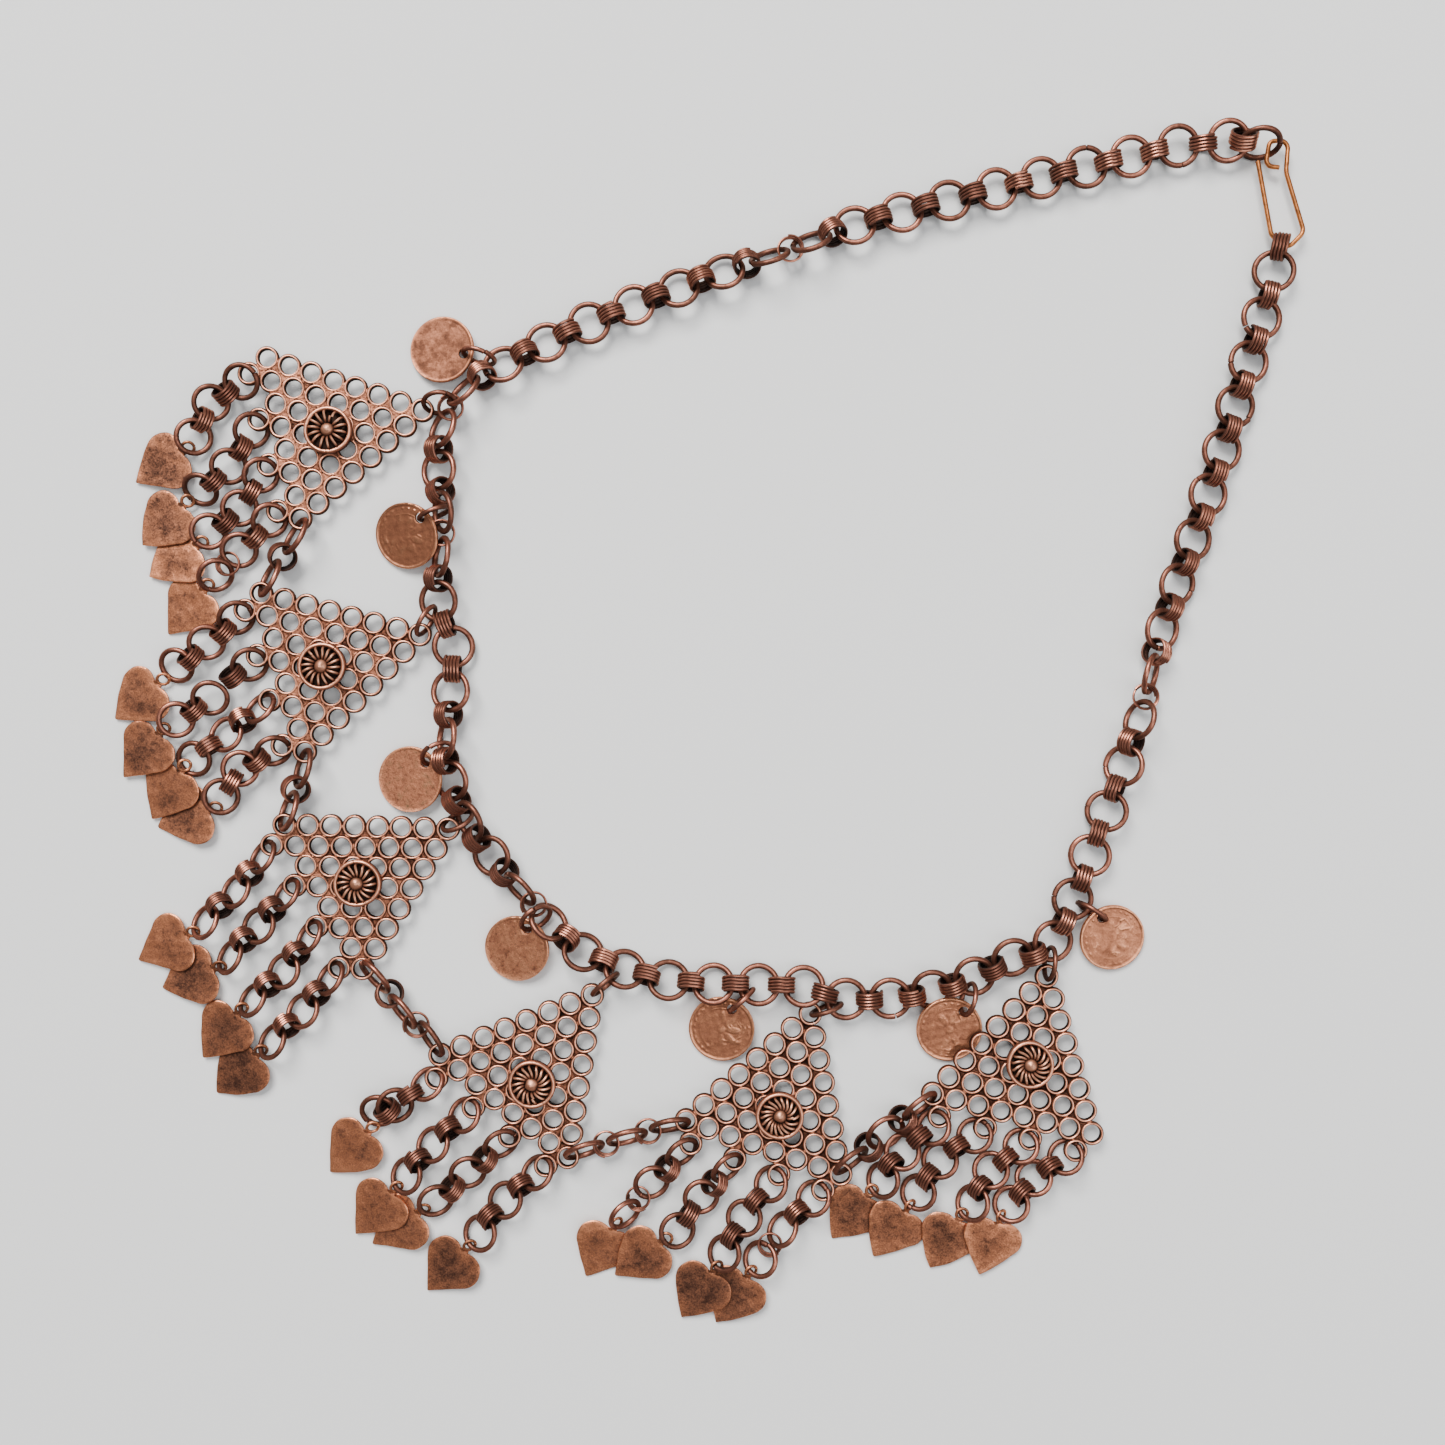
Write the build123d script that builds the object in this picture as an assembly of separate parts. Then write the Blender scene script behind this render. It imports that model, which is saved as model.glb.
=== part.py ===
"""Folk necklace of copper rings, lying fastened on a surface.

A loop of large split rings joined by coils of thin wire carries six triangular plates of soldered tube
rings and seven pierced coins. Each plate has a round boss with a coiled wire rosette, and four short chains
that end in a heart-shaped sheet. A wire hook closes the loop.

Millimetres, +Z up. The surface is Z = 0 and the origin is under the middle of the whole necklace.
Places are read off the view from above as points in picture units (x to the right, y down), and the
function spot turns them into millimetres.
"""
from build123d import *
import os
from math import atan2, cos, degrees, hypot, pi, radians, sin, sqrt

import numpy as np

# Scale of the view from above
UNIT = 0.229
VIEW_MIDDLE = (722.5, 722.5)
VIEW_HEIGHT = 358.0

# Links of the chains
RING_OD = 9.9
RING_WIRE = 1.32
COIL_OD = 6.4
COIL_WIRE = 0.72
COIL_TURNS = 5
COIL_PITCH = 0.74
COIL_BAND = 0.45
THIN_OD = 6.4
THIN_WIRE = 0.8
JUMP_OD = 8.4
JUMP_WIRE = 1.15
RING_DROP = 0.45
THIN_DROP = 1.3

# Triangular plates
PLATE_ROWS = 8
PLATE_PITCH = 5.3
TUBE_OD = 5.4
TUBE_WALL = 0.58
TUBE_HEIGHT = 1.6
SOLDER_RECESS = 0.3
SOLDER_HEIGHT = 0.8
PLATE_LIFT = 2.2
HANGING_PLACES = (3.0, 1.0, -1.0, -3.0)

# Boss and rosette on each plate
BOSS_OD = 10.8
BOSS_WALL = 0.95
BOSS_HEIGHT = 2.2
BOSS_FLOOR = 0.4
BOSS_SINK = 0.2
BOSS_LIP_R = 0.42
LOOP_COUNT = 16
LOOP_OD = 2.9
LOOP_WIRE = 0.42
LOOP_SWIRL = 22.0
BALL_D = 2.7
BALL_HEIGHT = 1.13

# Hearts
HEART_LENGTH = 14.6
HEART_WIDTH = 13.8
LOBE_R = 4.0
SHOULDER = 1.35
TIP_R = 0.35
SHEET = 0.55
EYE_OD = 3.4
EYE_HOLE = 1.9
NECK_WIDTH = 2.3
NOTCH = 2.6

# Coins
COIN_D = 15.0
COIN_THICK = 0.9
COIN_HOLE_D = 2.3
COIN_HOLE_PLACE = 5.35
COIN_RIM = 0.55
COIN_RELIEF = 0.14
PETALS = 8
BEADS = 28

# Drop chains
DROP_TUBE_D = 4.6
DROP_CLEAR = 0.4
DROP_TAPER = 2.2

# Hook of the clasp
HOOK_WIRE = 1.05
HOOK_HEIGHT = 3.0

# Settling of the loose pieces: the play kept between any two, the extra kept round a sheet, how far apart
# two pieces may be and still be watched, and the most rounds that it may take
PLAY = 0.14
SHEET_PLAY = 0.08
WATCH = 1.2
ROUNDS = 300

# Kinds of link in the routes: R is a large ring, C a coil and T a thin ring, which always lies flat.
LINK_KINDS = {"R": "ring", "C": "coil", "T": "thin"}

# Route of the neck chain from the clasp's ring to the clasp's coil: x, y in picture units, the links
# from the last point up to this one, and the roll here about the chain's line in degrees. A positive
# roll lifts the left side of someone who walks along the chain.
NECK_ROUTE = [
    (1258.5, 142.5, "R", -62.0),
    (1243.5, 138.5, "C", -45.0),
    (1223.0, 139.5, "R", -28.0),
    (1176.0, 146.5, "CR", -8.0),
    (996.5, 188.7, "CRCRCRCR", 0.0),
    (855.0, 225.0, "CRCRCR", 12.0),
    (811.0, 241.5, "CR", 55.0),
    (769.5, 256.5, "TR", 60.0),
    (724.0, 271.5, "CR", 25.0),
    (589.0, 323.0, "CRCRCR", 0.0),
    (504.5, 364.0, "CRCR", 25.0),
    (463.0, 391.0, "CR", 60.0),
    (442.5, 428.0, "TR", 50.0),
    (438.5, 471.0, "CR", 30.0),
    (443.0, 512.0, "CR", 62.0),
    (441.0, 555.5, "TR", 62.0),
    (438.0, 600.5, "CR", 20.0),
    (453.5, 646.8, "CR", -14.0),
    (450.5, 691.0, "CR", 18.0),
    (448.0, 738.0, "CR", 62.0),
    (449.5, 781.0, "CR", 25.0),
    (466.0, 821.0, "CR", 45.0),
    (490.0, 855.0, "CR", 25.0),
    (520.0, 889.0, "CR", 62.0),
    (549.0, 922.0, "TR", -50.0),
    (583.0, 952.0, "CR", -36.0),
    (668.5, 980.0, "CRCR", -26.0),
    (804.0, 987.0, "CRCRCR", -12.0),
    (848.0, 999.0, "CR", 0.0),
    (933.0, 990.5, "CRCR", 14.0),
    (1012.0, 958.5, "CRCR", 20.0),
    (1051.5, 941.5, "CR", 12.0),
    (1106.5, 811.0, "CRCRCR", -18.0),
    (1123.5, 766.0, "CR", -36.0),
    (1139.5, 719.0, "CR", -62.0),
    (1151.0, 674.0, "TR", 62.0),
    (1162.0, 629.5, "CR", 28.0),
    (1208.0, 494.5, "CRCRCR", 14.0),
    (1261.5, 318.0, "CRCRCRCR", 8.0),
    (1274.0, 272.0, "CR", -8.0),
    (1279.5, 247.5, "C", -25.0),
]
NECK_SPLIT = 59

# Short chains that join each plate to the next, with the same columns.
JOINING_ROUTES = [
    [(297.0, 535.5, "R", 60.0), (268.0, 577.0, "CR", 60.0)],
    [(302.5, 770.0, "R", 60.0), (289.0, 809.0, "CR", 60.0)],
    [(375.5, 977.5, "R", 62.0), (403.6, 1010.0, "CR", 62.0), (429.5, 1039.0, "TR", 62.0)],
    [(585.5, 1150.0, "R", 62.0), (627.0, 1137.0, "TR", 62.0), (669.5, 1125.5, "TR", 62.0)],
    [(851.5, 1160.0, "R", 62.0), (885.5, 1133.0, "CR", 36.0), (919.0, 1106.0, "CR", 62.0)],
]

# Triangular plates: middle x, y, heading of the apex in degrees (anticlockwise from +X), and the boss's
# place from the middle, along the apex and across it.
PLATES = [
    (330.9, 429.7, 11.6, -0.5, -2.5),
    (329.8, 660.1, 15.4, -6.7, -4.9),
    (365.8, 873.5, 28.6, -9.0, -4.8),
    (533.8, 1068.1, 51.4, -10.8, -7.8),
    (778.9, 1101.8, 70.7, -10.2, -4.0),
    (1023.0, 1066.9, 76.0, 5.8, -3.4),
]

# Outside and wire of each kind of ring
RING_SIZES = {"ring": (RING_OD, RING_WIRE), "thin": (THIN_OD, THIN_WIRE), "jump": (JUMP_OD, JUMP_WIRE)}

# The neck chain's links, counted from the clasp's ring, that carry the jump rings of the plates and coins
PLATE_LINKS = [36, 46, 56, 66, 76, 86]
COIN_LINKS = [34, 42, 52, 62, 72, 82, 88]

# Coins: middle x, y, heading of the hole in degrees, tilt in degrees, and whether it shows a relief.
COINS = [
    (442.8, 350.0, -13.0, 11.0, False),
    (411.2, 534.3, 45.0, 20.0, True),
    (412.0, 779.0, 50.0, 11.0, False),
    (520.5, 946.0, 60.0, 11.0, False),
    (722.4, 1027.9, 62.0, 11.0, True),
    (946.3, 1026.7, 52.0, 11.0, True),
    (1109.0, 936.0, 122.0, 11.0, True),
]

# Hearts, four on each plate: eye x, y, then tip x, y.
HEARTS = [
    [(189.0, 448.0, 133.0, 488.0), (188.0, 501.0, 138.0, 550.0),
     (202.0, 542.0, 142.0, 581.5), (208.0, 585.0, 166.0, 639.0)],
    [(165.0, 679.0, 116.0, 723.0), (165.0, 728.0, 123.0, 779.0),
     (186.0, 765.0, 151.0, 822.0), (217.0, 807.0, 152.0, 829.0)],
    [(194.0, 930.5, 139.5, 959.0), (221.0, 965.0, 162.0, 987.0),
     (243.0, 1007.0, 202.0, 1059.0), (262.0, 1049.0, 215.0, 1094.0)],
    [(374.0, 1126.0, 329.0, 1174.0), (398.0, 1185.5, 355.0, 1235.0),
     (425.0, 1208.0, 369.0, 1246.0), (471.0, 1244.0, 425.0, 1293.0)],
    [(617.0, 1222.0, 585.0, 1277.5), (667.0, 1237.5, 610.0, 1277.5),
     (717.5, 1265.0, 680.0, 1319.0), (751.5, 1270.0, 714.0, 1325.0)],
    [(872.0, 1190.0, 828.0, 1243.0), (910.0, 1205.0, 872.0, 1258.0),
     (962.0, 1214.0, 930.0, 1267.0), (1001.0, 1215.5, 978.0, 1276.0)],
]
# Roll of each heart in degrees: over 0 it lies over the next heart, below 0 under it.
HEART_ROLLS = [
    (5.0, 5.0, 5.0, 5.0),
    (5.0, 5.0, 5.0, 5.0),
    (5.0, 5.0, 5.0, 5.0),
    (5.0, 5.0, 5.0, 5.0),
    (-5.0, -5.0, 5.0, 5.0),
    (-5.0, -5.0, -5.0, -5.0),
]
EYE_HEIGHT = 2.1

# Hook: points of the wire's middle line with the corner radius at each, from the free end to the curl.
HOOK_ROUTE = [
    (1257.8, 161.2, 0.0),
    (1271.0, 234.0, 2.2),
    (1286.0, 250.5, 2.2),
    (1304.0, 232.0, 2.2),
    (1286.0, 172.0, 6.0),
    (1288.5, 139.5, 1.9),
    (1269.5, 141.5, 1.4),
    (1265.5, 166.0, 1.5),
    (1279.0, 167.5, 0.0),
]


class Piece:
    """A rigid piece of the necklace, which may shift a little while the loose pieces settle.

    Its points lie inside the metal, each with its own distance to the outside, and a ring also has the
    radius of its wire's middle line. A sheet that is over lies on the later sheets that it meets.
    """

    def __init__(self, node, kind, frame, points, thick, circle=0.0, fixed=False, over=True):
        self.node, self.kind, self.circle, self.fixed, self.over = node, kind, circle, fixed, over
        self.origin = np.array(tuple(frame.origin))
        self.axes = np.array([tuple(frame.x_dir), tuple(frame.y_dir), tuple(frame.z_dir)])
        self.points = np.array(points, dtype=float)
        self.thick = np.zeros(len(self.points)) + thick
        radii = np.linalg.norm(self.points, axis=1)
        self.spread = sqrt((radii**2).mean())
        self.far = (radii + self.thick).max()
        self.placed = None
        self.moves = 0

    def places(self):
        """The points where the piece lies now."""
        if self.placed is None:
            self.placed = self.points @ self.axes + self.origin
        return self.placed

    def frame(self):
        return Plane(origin=tuple(self.origin), x_dir=tuple(self.axes[0]), z_dir=tuple(self.axes[2]))

    def give(self, at, way):
        """How easily a push at a point moves that point."""
        return 0.0 if self.fixed else 1 + (np.cross(at - self.origin, way) ** 2).sum() / self.spread**2

    def push(self, at, way, amount):
        """Shifts and turns the piece by a push at a point."""
        if self.fixed:
            return
        turn = np.cross(at - self.origin, way) * amount / self.spread**2
        self.origin = self.origin + way * amount
        angle = np.linalg.norm(turn)
        if angle > 1e-9:
            about = turn / angle
            self.axes = (self.axes * cos(angle) + np.cross(about, self.axes) * sin(angle)
                         + np.outer(self.axes @ about, about) * (1 - cos(angle)))
        self.placed = None
        self.moves += 1


def nearest(a, b):
    """Gap between two pieces, and the point of each where they are nearest."""
    if a.circle and not b.circle:
        gap, at_b, at_a = nearest(b, a)
        return gap, at_a, at_b
    at_a = a.places()
    if b.circle:
        out = at_a - b.origin
        flat = out - np.outer(out @ b.axes[2], b.axes[2])
        at_b = b.origin + flat * (b.circle / np.maximum(np.linalg.norm(flat, axis=1), 1e-6))[:, None]
        gaps = np.linalg.norm(at_a - at_b, axis=1) - a.thick - b.thick[0]
        i = gaps.argmin()
        return gaps[i], at_a[i], at_b[i]
    at_b = b.places()
    margin = a.thick.max() + b.thick.max() + WATCH
    use_a = ((at_a > at_b.min(0) - margin) & (at_a < at_b.max(0) + margin)).all(1)
    use_b = ((at_b > at_a.min(0) - margin) & (at_b < at_a.max(0) + margin)).all(1)
    if not use_a.any() or not use_b.any():
        return WATCH, at_a[0], at_b[0]
    at_a, at_b = at_a[use_a], at_b[use_b]
    gaps = (np.linalg.norm(at_a[:, None] - at_b[None], axis=2)
            - a.thick[use_a][:, None] - b.thick[use_b][None])
    i, k = np.unravel_index(gaps.argmin(), gaps.shape)
    return gaps[i, k], at_a[i], at_b[k]


def stacked(upper, lower):
    """Gap straight down from one sheet to the sheet under it, and the point of each there."""
    at_a, at_b = upper.places(), lower.places()
    use_a = ((at_a > at_b.min(0) - SHEET) & (at_a < at_b.max(0) + SHEET))[:, :2].all(1)
    use_b = ((at_b > at_a.min(0) - SHEET) & (at_b < at_a.max(0) + SHEET))[:, :2].all(1)
    if not use_a.any() or not use_b.any():
        return WATCH, at_a[0], at_b[0]
    at_a, at_b = at_a[use_a], at_b[use_b]
    across = np.linalg.norm(at_a[:, None, :2] - at_b[None, :, :2], axis=2)
    gaps = np.where(across < SHEET, at_a[:, None, 2] - at_b[None, :, 2], WATCH + 2 * SHEET)
    gaps -= SHEET + SHEET_PLAY
    i, k = np.unravel_index(gaps.argmin(), gaps.shape)
    return gaps[i, k], at_a[i], at_b[k]


def settle(pieces):
    """Parts all pieces that are closer than the play, and keeps them above the surface."""
    up = np.array([0.0, 0.0, 1.0])
    pairs, clear = [], {}
    for step in range(ROUNDS):
        if step % 15 == 0:
            pairs = []
            for i, a in enumerate(pieces):
                for b in pieces[i + 1:]:
                    if a.fixed and b.fixed:
                        continue
                    if np.linalg.norm(a.origin - b.origin) < a.far + b.far + WATCH:
                        sheets = a.kind == b.kind == "heart"
                        pair = (b, a) if sheets and not a.over else (a, b)
                        if (stacked if sheets else nearest)(*pair)[0] < WATCH:
                            pairs.append((*pair, sheets))
        worst = 0.0
        for a, b, sheets in pairs:
            if clear.get((a, b)) == (a.moves, b.moves):
                continue
            gap, at_a, at_b = (stacked if sheets else nearest)(a, b)
            if gap >= PLAY:
                clear[a, b] = (a.moves, b.moves)
                continue
            worst = max(worst, PLAY - gap)
            way = up if sheets else (at_a - at_b) / max(np.linalg.norm(at_a - at_b), 1e-6)
            amount = (PLAY - gap) / (a.give(at_a, way) + b.give(at_b, way))
            a.push(at_a, way, amount)
            b.push(at_b, -way, amount)
        for piece in pieces:
            if piece.fixed:
                continue
            heights = piece.places()[:, 2] - piece.thick
            low = heights.argmin()
            if heights[low] < 0:
                at = piece.places()[low]
                piece.push(at, up, -heights[low] / piece.give(at, up))
                worst = max(worst, -heights[low])
        if worst < PLAY * 0.15:
            break
    print(f"settled in {step + 1} rounds, {len(pairs)} close pairs, {worst:.3f} left to part")


def spot(x, y, height=0.0):
    """Point in millimetres under a picture point, for something at that height."""
    scale = UNIT * (VIEW_HEIGHT - height) / VIEW_HEIGHT
    return Vector((x - VIEW_MIDDLE[0]) * scale, (VIEW_MIDDLE[1] - y) * scale, height)


def coil_width():
    return (COIL_TURNS - 1) * COIL_PITCH + COIL_WIRE


def reach(kind, roll):
    """Height of a link's middle when it touches the surface at that roll."""
    lean = abs(sin(radians(roll)))
    if kind == "coil":
        return COIL_OD / 2 * cos(radians(roll)) + coil_width() / 2 * lean
    od, wire = RING_SIZES[kind]
    return (od - wire) / 2 * lean + wire / 2


def route_points(route):
    """Kind, x, y and roll of each link, spaced evenly on a smooth curve through the route."""
    anchors = [(x, y) for x, y, _, _ in route]
    links = [(LINK_KINDS[route[0][2]], *anchors[0], route[0][3])]
    for i in range(1, len(route)):
        p0, p1 = anchors[max(i - 2, 0)], anchors[i - 1]
        p2, p3 = anchors[i], anchors[min(i + 1, len(anchors) - 1)]
        letters = route[i][2]
        span = hypot(p2[0] - p1[0], p2[1] - p1[1])
        before = max(hypot(p2[0] - p0[0], p2[1] - p0[1]), span)
        after = max(hypot(p3[0] - p1[0], p3[1] - p1[1]), span)
        roll_from = route[i - 1][3]
        for n, letter in enumerate(letters, 1):
            s = n / len(letters)
            h1, h2 = 2 * s**3 - 3 * s**2 + 1, 3 * s**2 - 2 * s**3
            g1, g2 = s**3 - 2 * s**2 + s, s**3 - s**2
            x, y = [
                h1 * p1[k] + h2 * p2[k]
                + g1 * (p2[k] - p0[k]) * span / before + g2 * (p3[k] - p1[k]) * span / after
                for k in (0, 1)
            ]
            roll = 0.0 if letter == "T" else roll_from + (route[i][3] - roll_from) * s
            links.append((LINK_KINDS[letter], x, y, roll))
    return links


def settle_heights(links):
    """Heights of the links: each touches the surface or is held up by the links that it hangs in."""
    heights = [reach(kind, roll) for kind, _, _, roll in links]
    for _ in links:
        for i in range(1, len(links)):
            drop = THIN_DROP if "thin" in (links[i - 1][0], links[i][0]) else RING_DROP
            heights[i - 1] = max(heights[i - 1], heights[i] - drop)
            heights[i] = max(heights[i], heights[i - 1] - drop)
    return heights


def circle_points(radius, count=72):
    return [(radius * cos(2 * pi * n / count), radius * sin(2 * pi * n / count), 0.0) for n in range(count)]


def ring_piece(node, kind, frame):
    od, wire = RING_SIZES[kind]
    radius = (od - wire) / 2
    return Piece(node, kind, frame, circle_points(radius), wire / 2, radius)


def link_piece(node, kind, middle, along, roll):
    """A link with its chain's direction along X and Z at right angles to a ring's flat side."""
    up = Vector(0, 0, 1)
    up = (up - along * up.dot(along)).normalized()
    left = up.cross(along)
    facing = up * cos(radians(roll)) - left * sin(radians(roll))
    frame = Plane(origin=middle, x_dir=along, z_dir=facing)
    if kind == "coil":
        turns = [(n - (COIL_TURNS - 1) / 2) * COIL_PITCH for n in range(COIL_TURNS)]
        circle = circle_points((COIL_OD - COIL_WIRE) / 2, 48)
        return Piece(node, kind, frame, [(x, y, z) for y in turns for x, z, _ in circle], COIL_WIRE / 2)
    return ring_piece(node, kind, frame)


def lay_chain(route, node, later_node=""):
    """Links of one chain in one node, or in two that meet at the neck's split."""
    links = route_points(route)
    middles = [spot(x, y, z) for (_, x, y, _), z in zip(links, settle_heights(links))]
    chain = []
    for i, (kind, _, _, roll) in enumerate(links):
        before, after = middles[max(i - 1, 0)], middles[min(i + 1, len(middles) - 1)]
        holder = later_node if later_node and i >= NECK_SPLIT else node
        chain.append(link_piece(holder, kind, middles[i], (after - before).normalized(), roll))
    return chain


def jump_ring(node, link, hold, tangent):
    """Jump ring round a ring's wire and a strip of metal at hold that runs along the tangent."""
    out = hold - link.origin
    flat = out - link.axes[2] * (out @ link.axes[2])
    flat = flat / np.linalg.norm(flat)
    wire_at = link.origin + flat * link.circle
    wire_way = np.cross(link.axes[2], flat)
    if wire_way @ tangent < 0:
        wire_way = -wire_way
    along = (hold - wire_at) / np.linalg.norm(hold - wire_at)
    facing = wire_way + tangent
    facing = facing - along * (facing @ along)
    frame = Plane(origin=tuple((hold + wire_at) / 2), x_dir=tuple(along), z_dir=tuple(facing))
    return ring_piece(node, "jump", frame)


def apex_hold(plate, link):
    """Wall of a plate's apex ring on the link's side, and the wall's own direction there."""
    apex = plate.origin + np.array([*lattice()[0][0], TUBE_HEIGHT / 2]) @ plate.axes
    out = (link.origin - apex) * np.array([1.0, 1.0, 0.0])
    out = out / np.linalg.norm(out)
    return apex + out * (TUBE_OD - TUBE_WALL) / 2, np.cross([0.0, 0.0, 1.0], out)


def coin_hold(coin):
    """Metal between a coin's hole and its edge, and the edge's direction there."""
    place = (COIN_HOLE_PLACE + COIN_HOLE_D / 2 + COIN_D / 2) / 2
    return coin.origin + np.array([place, 0.0, COIN_THICK / 2]) @ coin.axes, coin.axes[1]


def heading_vector(heading):
    return Vector(cos(radians(heading)), sin(radians(heading)), 0)


def torus(od, wire):
    return Solid.make_torus((od - wire) / 2, wire / 2)


def coil_solid():
    """A tight coil of thin wire, as one ribbed band round Z."""
    middle_r, wire_r = (COIL_OD - COIL_WIRE) / 2, COIL_WIRE / 2
    band = Pos(middle_r, 0) * Rectangle(COIL_BAND, coil_width() - COIL_WIRE)
    turns = [
        Pos(middle_r, (n - (COIL_TURNS - 1) / 2) * COIL_PITCH) * Circle(wire_r)
        for n in range(COIL_TURNS)
    ]
    return revolve(Plane.XZ * (band + turns), Axis.Z)


def lattice():
    """Middles of the tube rings of a plate: the triangle's rows from the apex, then the hanging rings."""
    row_step = PLATE_PITCH * sqrt(3) / 2
    apex = row_step * (PLATE_ROWS - 1) * 2 / 3
    spots = [
        (apex - row * row_step, (row / 2 - n) * PLATE_PITCH)
        for row in range(PLATE_ROWS) for n in range(row + 1)
    ]
    hanging = [(apex - PLATE_ROWS * row_step, place * PLATE_PITCH) for place in HANGING_PLACES]
    return spots, hanging


def solder_web(spots):
    """Solder between each three tube rings that touch."""
    near = PLATE_PITCH * 1.1
    web = []
    for i, a in enumerate(spots):
        for j in range(i + 1, len(spots)):
            for k in range(j + 1, len(spots)):
                b, c = spots[j], spots[k]
                if max(hypot(a[0] - b[0], a[1] - b[1]), hypot(b[0] - c[0], b[1] - c[1]),
                       hypot(a[0] - c[0], a[1] - c[1])) < near:
                    web.append(extrude(make_face(Polyline(a, b, c, close=True)), SOLDER_HEIGHT))
    return web


def boss():
    """Cup with a coiled wire rosette round a ball, its floor at Z = 0."""
    cup = Cylinder(BOSS_OD / 2, BOSS_HEIGHT, align=(Align.CENTER, Align.CENTER, Align.MIN))
    room = Pos(0, 0, BOSS_FLOOR) * Cylinder(
        BOSS_OD / 2 - BOSS_WALL, BOSS_HEIGHT, align=(Align.CENTER, Align.CENTER, Align.MIN))
    cup -= room
    lip = cup.edges().filter_by(GeomType.CIRCLE).group_by(Axis.Z)[-1]
    cup = fillet(lip, BOSS_LIP_R)
    loop_place = (BALL_D / 2 + BOSS_OD / 2 - BOSS_WALL) / 2
    loop_height = BOSS_FLOOR + LOOP_OD / 2 - LOOP_WIRE / 2
    loops = [
        Rot(0, 0, n * 360 / LOOP_COUNT) * Pos(loop_place, 0, loop_height)
        * Rot(0, 0, LOOP_SWIRL) * Rot(90, 0, 0) * torus(LOOP_OD, LOOP_WIRE)
        for n in range(LOOP_COUNT)
    ]
    ball = Pos(0, 0, BOSS_FLOOR + BALL_HEIGHT) * Sphere(BALL_D / 2)
    return cup + loops + ball


def plate_solid(boss_place):
    """One triangular plate with its boss, lying level with its underside at Z = 0."""
    spots, hanging = lattice()
    centre_up = (Align.CENTER, Align.CENTER, Align.MIN)
    web = solder_web(spots + hanging)
    web = [Pos(0, 0, SOLDER_RECESS) * piece for piece in web]
    tubes = [Pos(x, y) * Cylinder(TUBE_OD / 2, TUBE_HEIGHT, align=centre_up) for x, y in spots + hanging]
    holes = [
        Pos(x, y, -1) * Cylinder(TUBE_OD / 2 - TUBE_WALL, TUBE_HEIGHT + 2, align=centre_up)
        for x, y in spots + hanging
    ]
    plate = tubes[0] + tubes[1:] + web
    plate = plate - holes
    seat = Pos(boss_place[0], boss_place[1], TUBE_HEIGHT - BOSS_SINK)
    return plate + seat * boss()


def plate_frame(row):
    x, y, heading = row[:3]
    return Plane(origin=spot(x, y, PLATE_LIFT), x_dir=heading_vector(heading), z_dir=(0, 0, 1))


def plate_piece(node, row):
    """A plate's tube rings; it doesn't shift."""
    spots, hanging = lattice()
    circle = circle_points((TUBE_OD - TUBE_WALL) / 2, 36)
    levels = [TUBE_WALL / 2, TUBE_HEIGHT / 2, TUBE_HEIGHT - TUBE_WALL / 2]
    points = [(x + cx, y + cy, z) for x, y in spots + hanging for cx, cy, _ in circle for z in levels]
    return Piece(node, "plate", plate_frame(row), points, TUBE_WALL / 2, fixed=True)


def heart_solid():
    """Heart of sheet with its eye at the origin and its point along +X, its middle plane at Z = 0."""
    eye_to_tip = HEART_LENGTH - TIP_R
    lobe_y = HEART_WIDTH / 2 - LOBE_R
    lobe_x = SHOULDER + LOBE_R
    outline = make_hull((Pos(lobe_x, lobe_y) * Circle(LOBE_R)).edges()
                        + (Pos(eye_to_tip, 0) * Circle(TIP_R)).edges())
    outline += mirror(outline, Plane.XZ)
    outline += Polygon((lobe_x - NOTCH, 0), (lobe_x, -lobe_y), (eye_to_tip, 0), (lobe_x, lobe_y),
                       align=None)
    outline += Pos(lobe_x / 2, 0) * Rectangle(lobe_x, NECK_WIDTH)
    outline += Circle(EYE_OD / 2)
    outline -= Circle(EYE_HOLE / 2)
    return extrude(Pos(0, 0, -SHEET / 2) * outline, SHEET)


def heart_piece(node, row, roll):
    """A heart with its eye held up by the last link and its point near the surface."""
    eye_x, eye_y, tip_x, tip_y = row
    eye, tip = spot(eye_x, eye_y, EYE_HEIGHT), spot(tip_x, tip_y, SHEET)
    flat = hypot(tip.X - eye.X, tip.Y - eye.Y)
    place = (Location(eye) * Rot(0, 0, degrees(atan2(tip.Y - eye.Y, tip.X - eye.X)))
             * Rot(0, degrees(atan2(EYE_HEIGHT - SHEET, flat)), 0) * Rot(roll, 0, 0))
    edge, step = SHEET / 2, SHEET * 0.8
    lobe_x, lobe_y = SHOULDER + LOBE_R, HEART_WIDTH / 2 - LOBE_R
    points = []
    for u in np.arange(lobe_x - LOBE_R, HEART_LENGTH - edge, step):
        for v in np.arange(-HEART_WIDTH / 2, HEART_WIDTH / 2, step):
            in_lobe = hypot(u - lobe_x, abs(v) - lobe_y) < LOBE_R - edge
            side = (HEART_LENGTH - u) / (HEART_LENGTH - lobe_x) * HEART_WIDTH / 2
            if in_lobe or (u > lobe_x and abs(v) < side - edge) or (abs(v) < NECK_WIDTH / 2 - edge):
                points.append((u, v, 0.0))
    points += circle_points((EYE_OD + EYE_HOLE) / 4, 24)
    return Piece(node, "heart", Plane(place), points, (SHEET + SHEET_PLAY) / 2, over=roll > 0)


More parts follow.
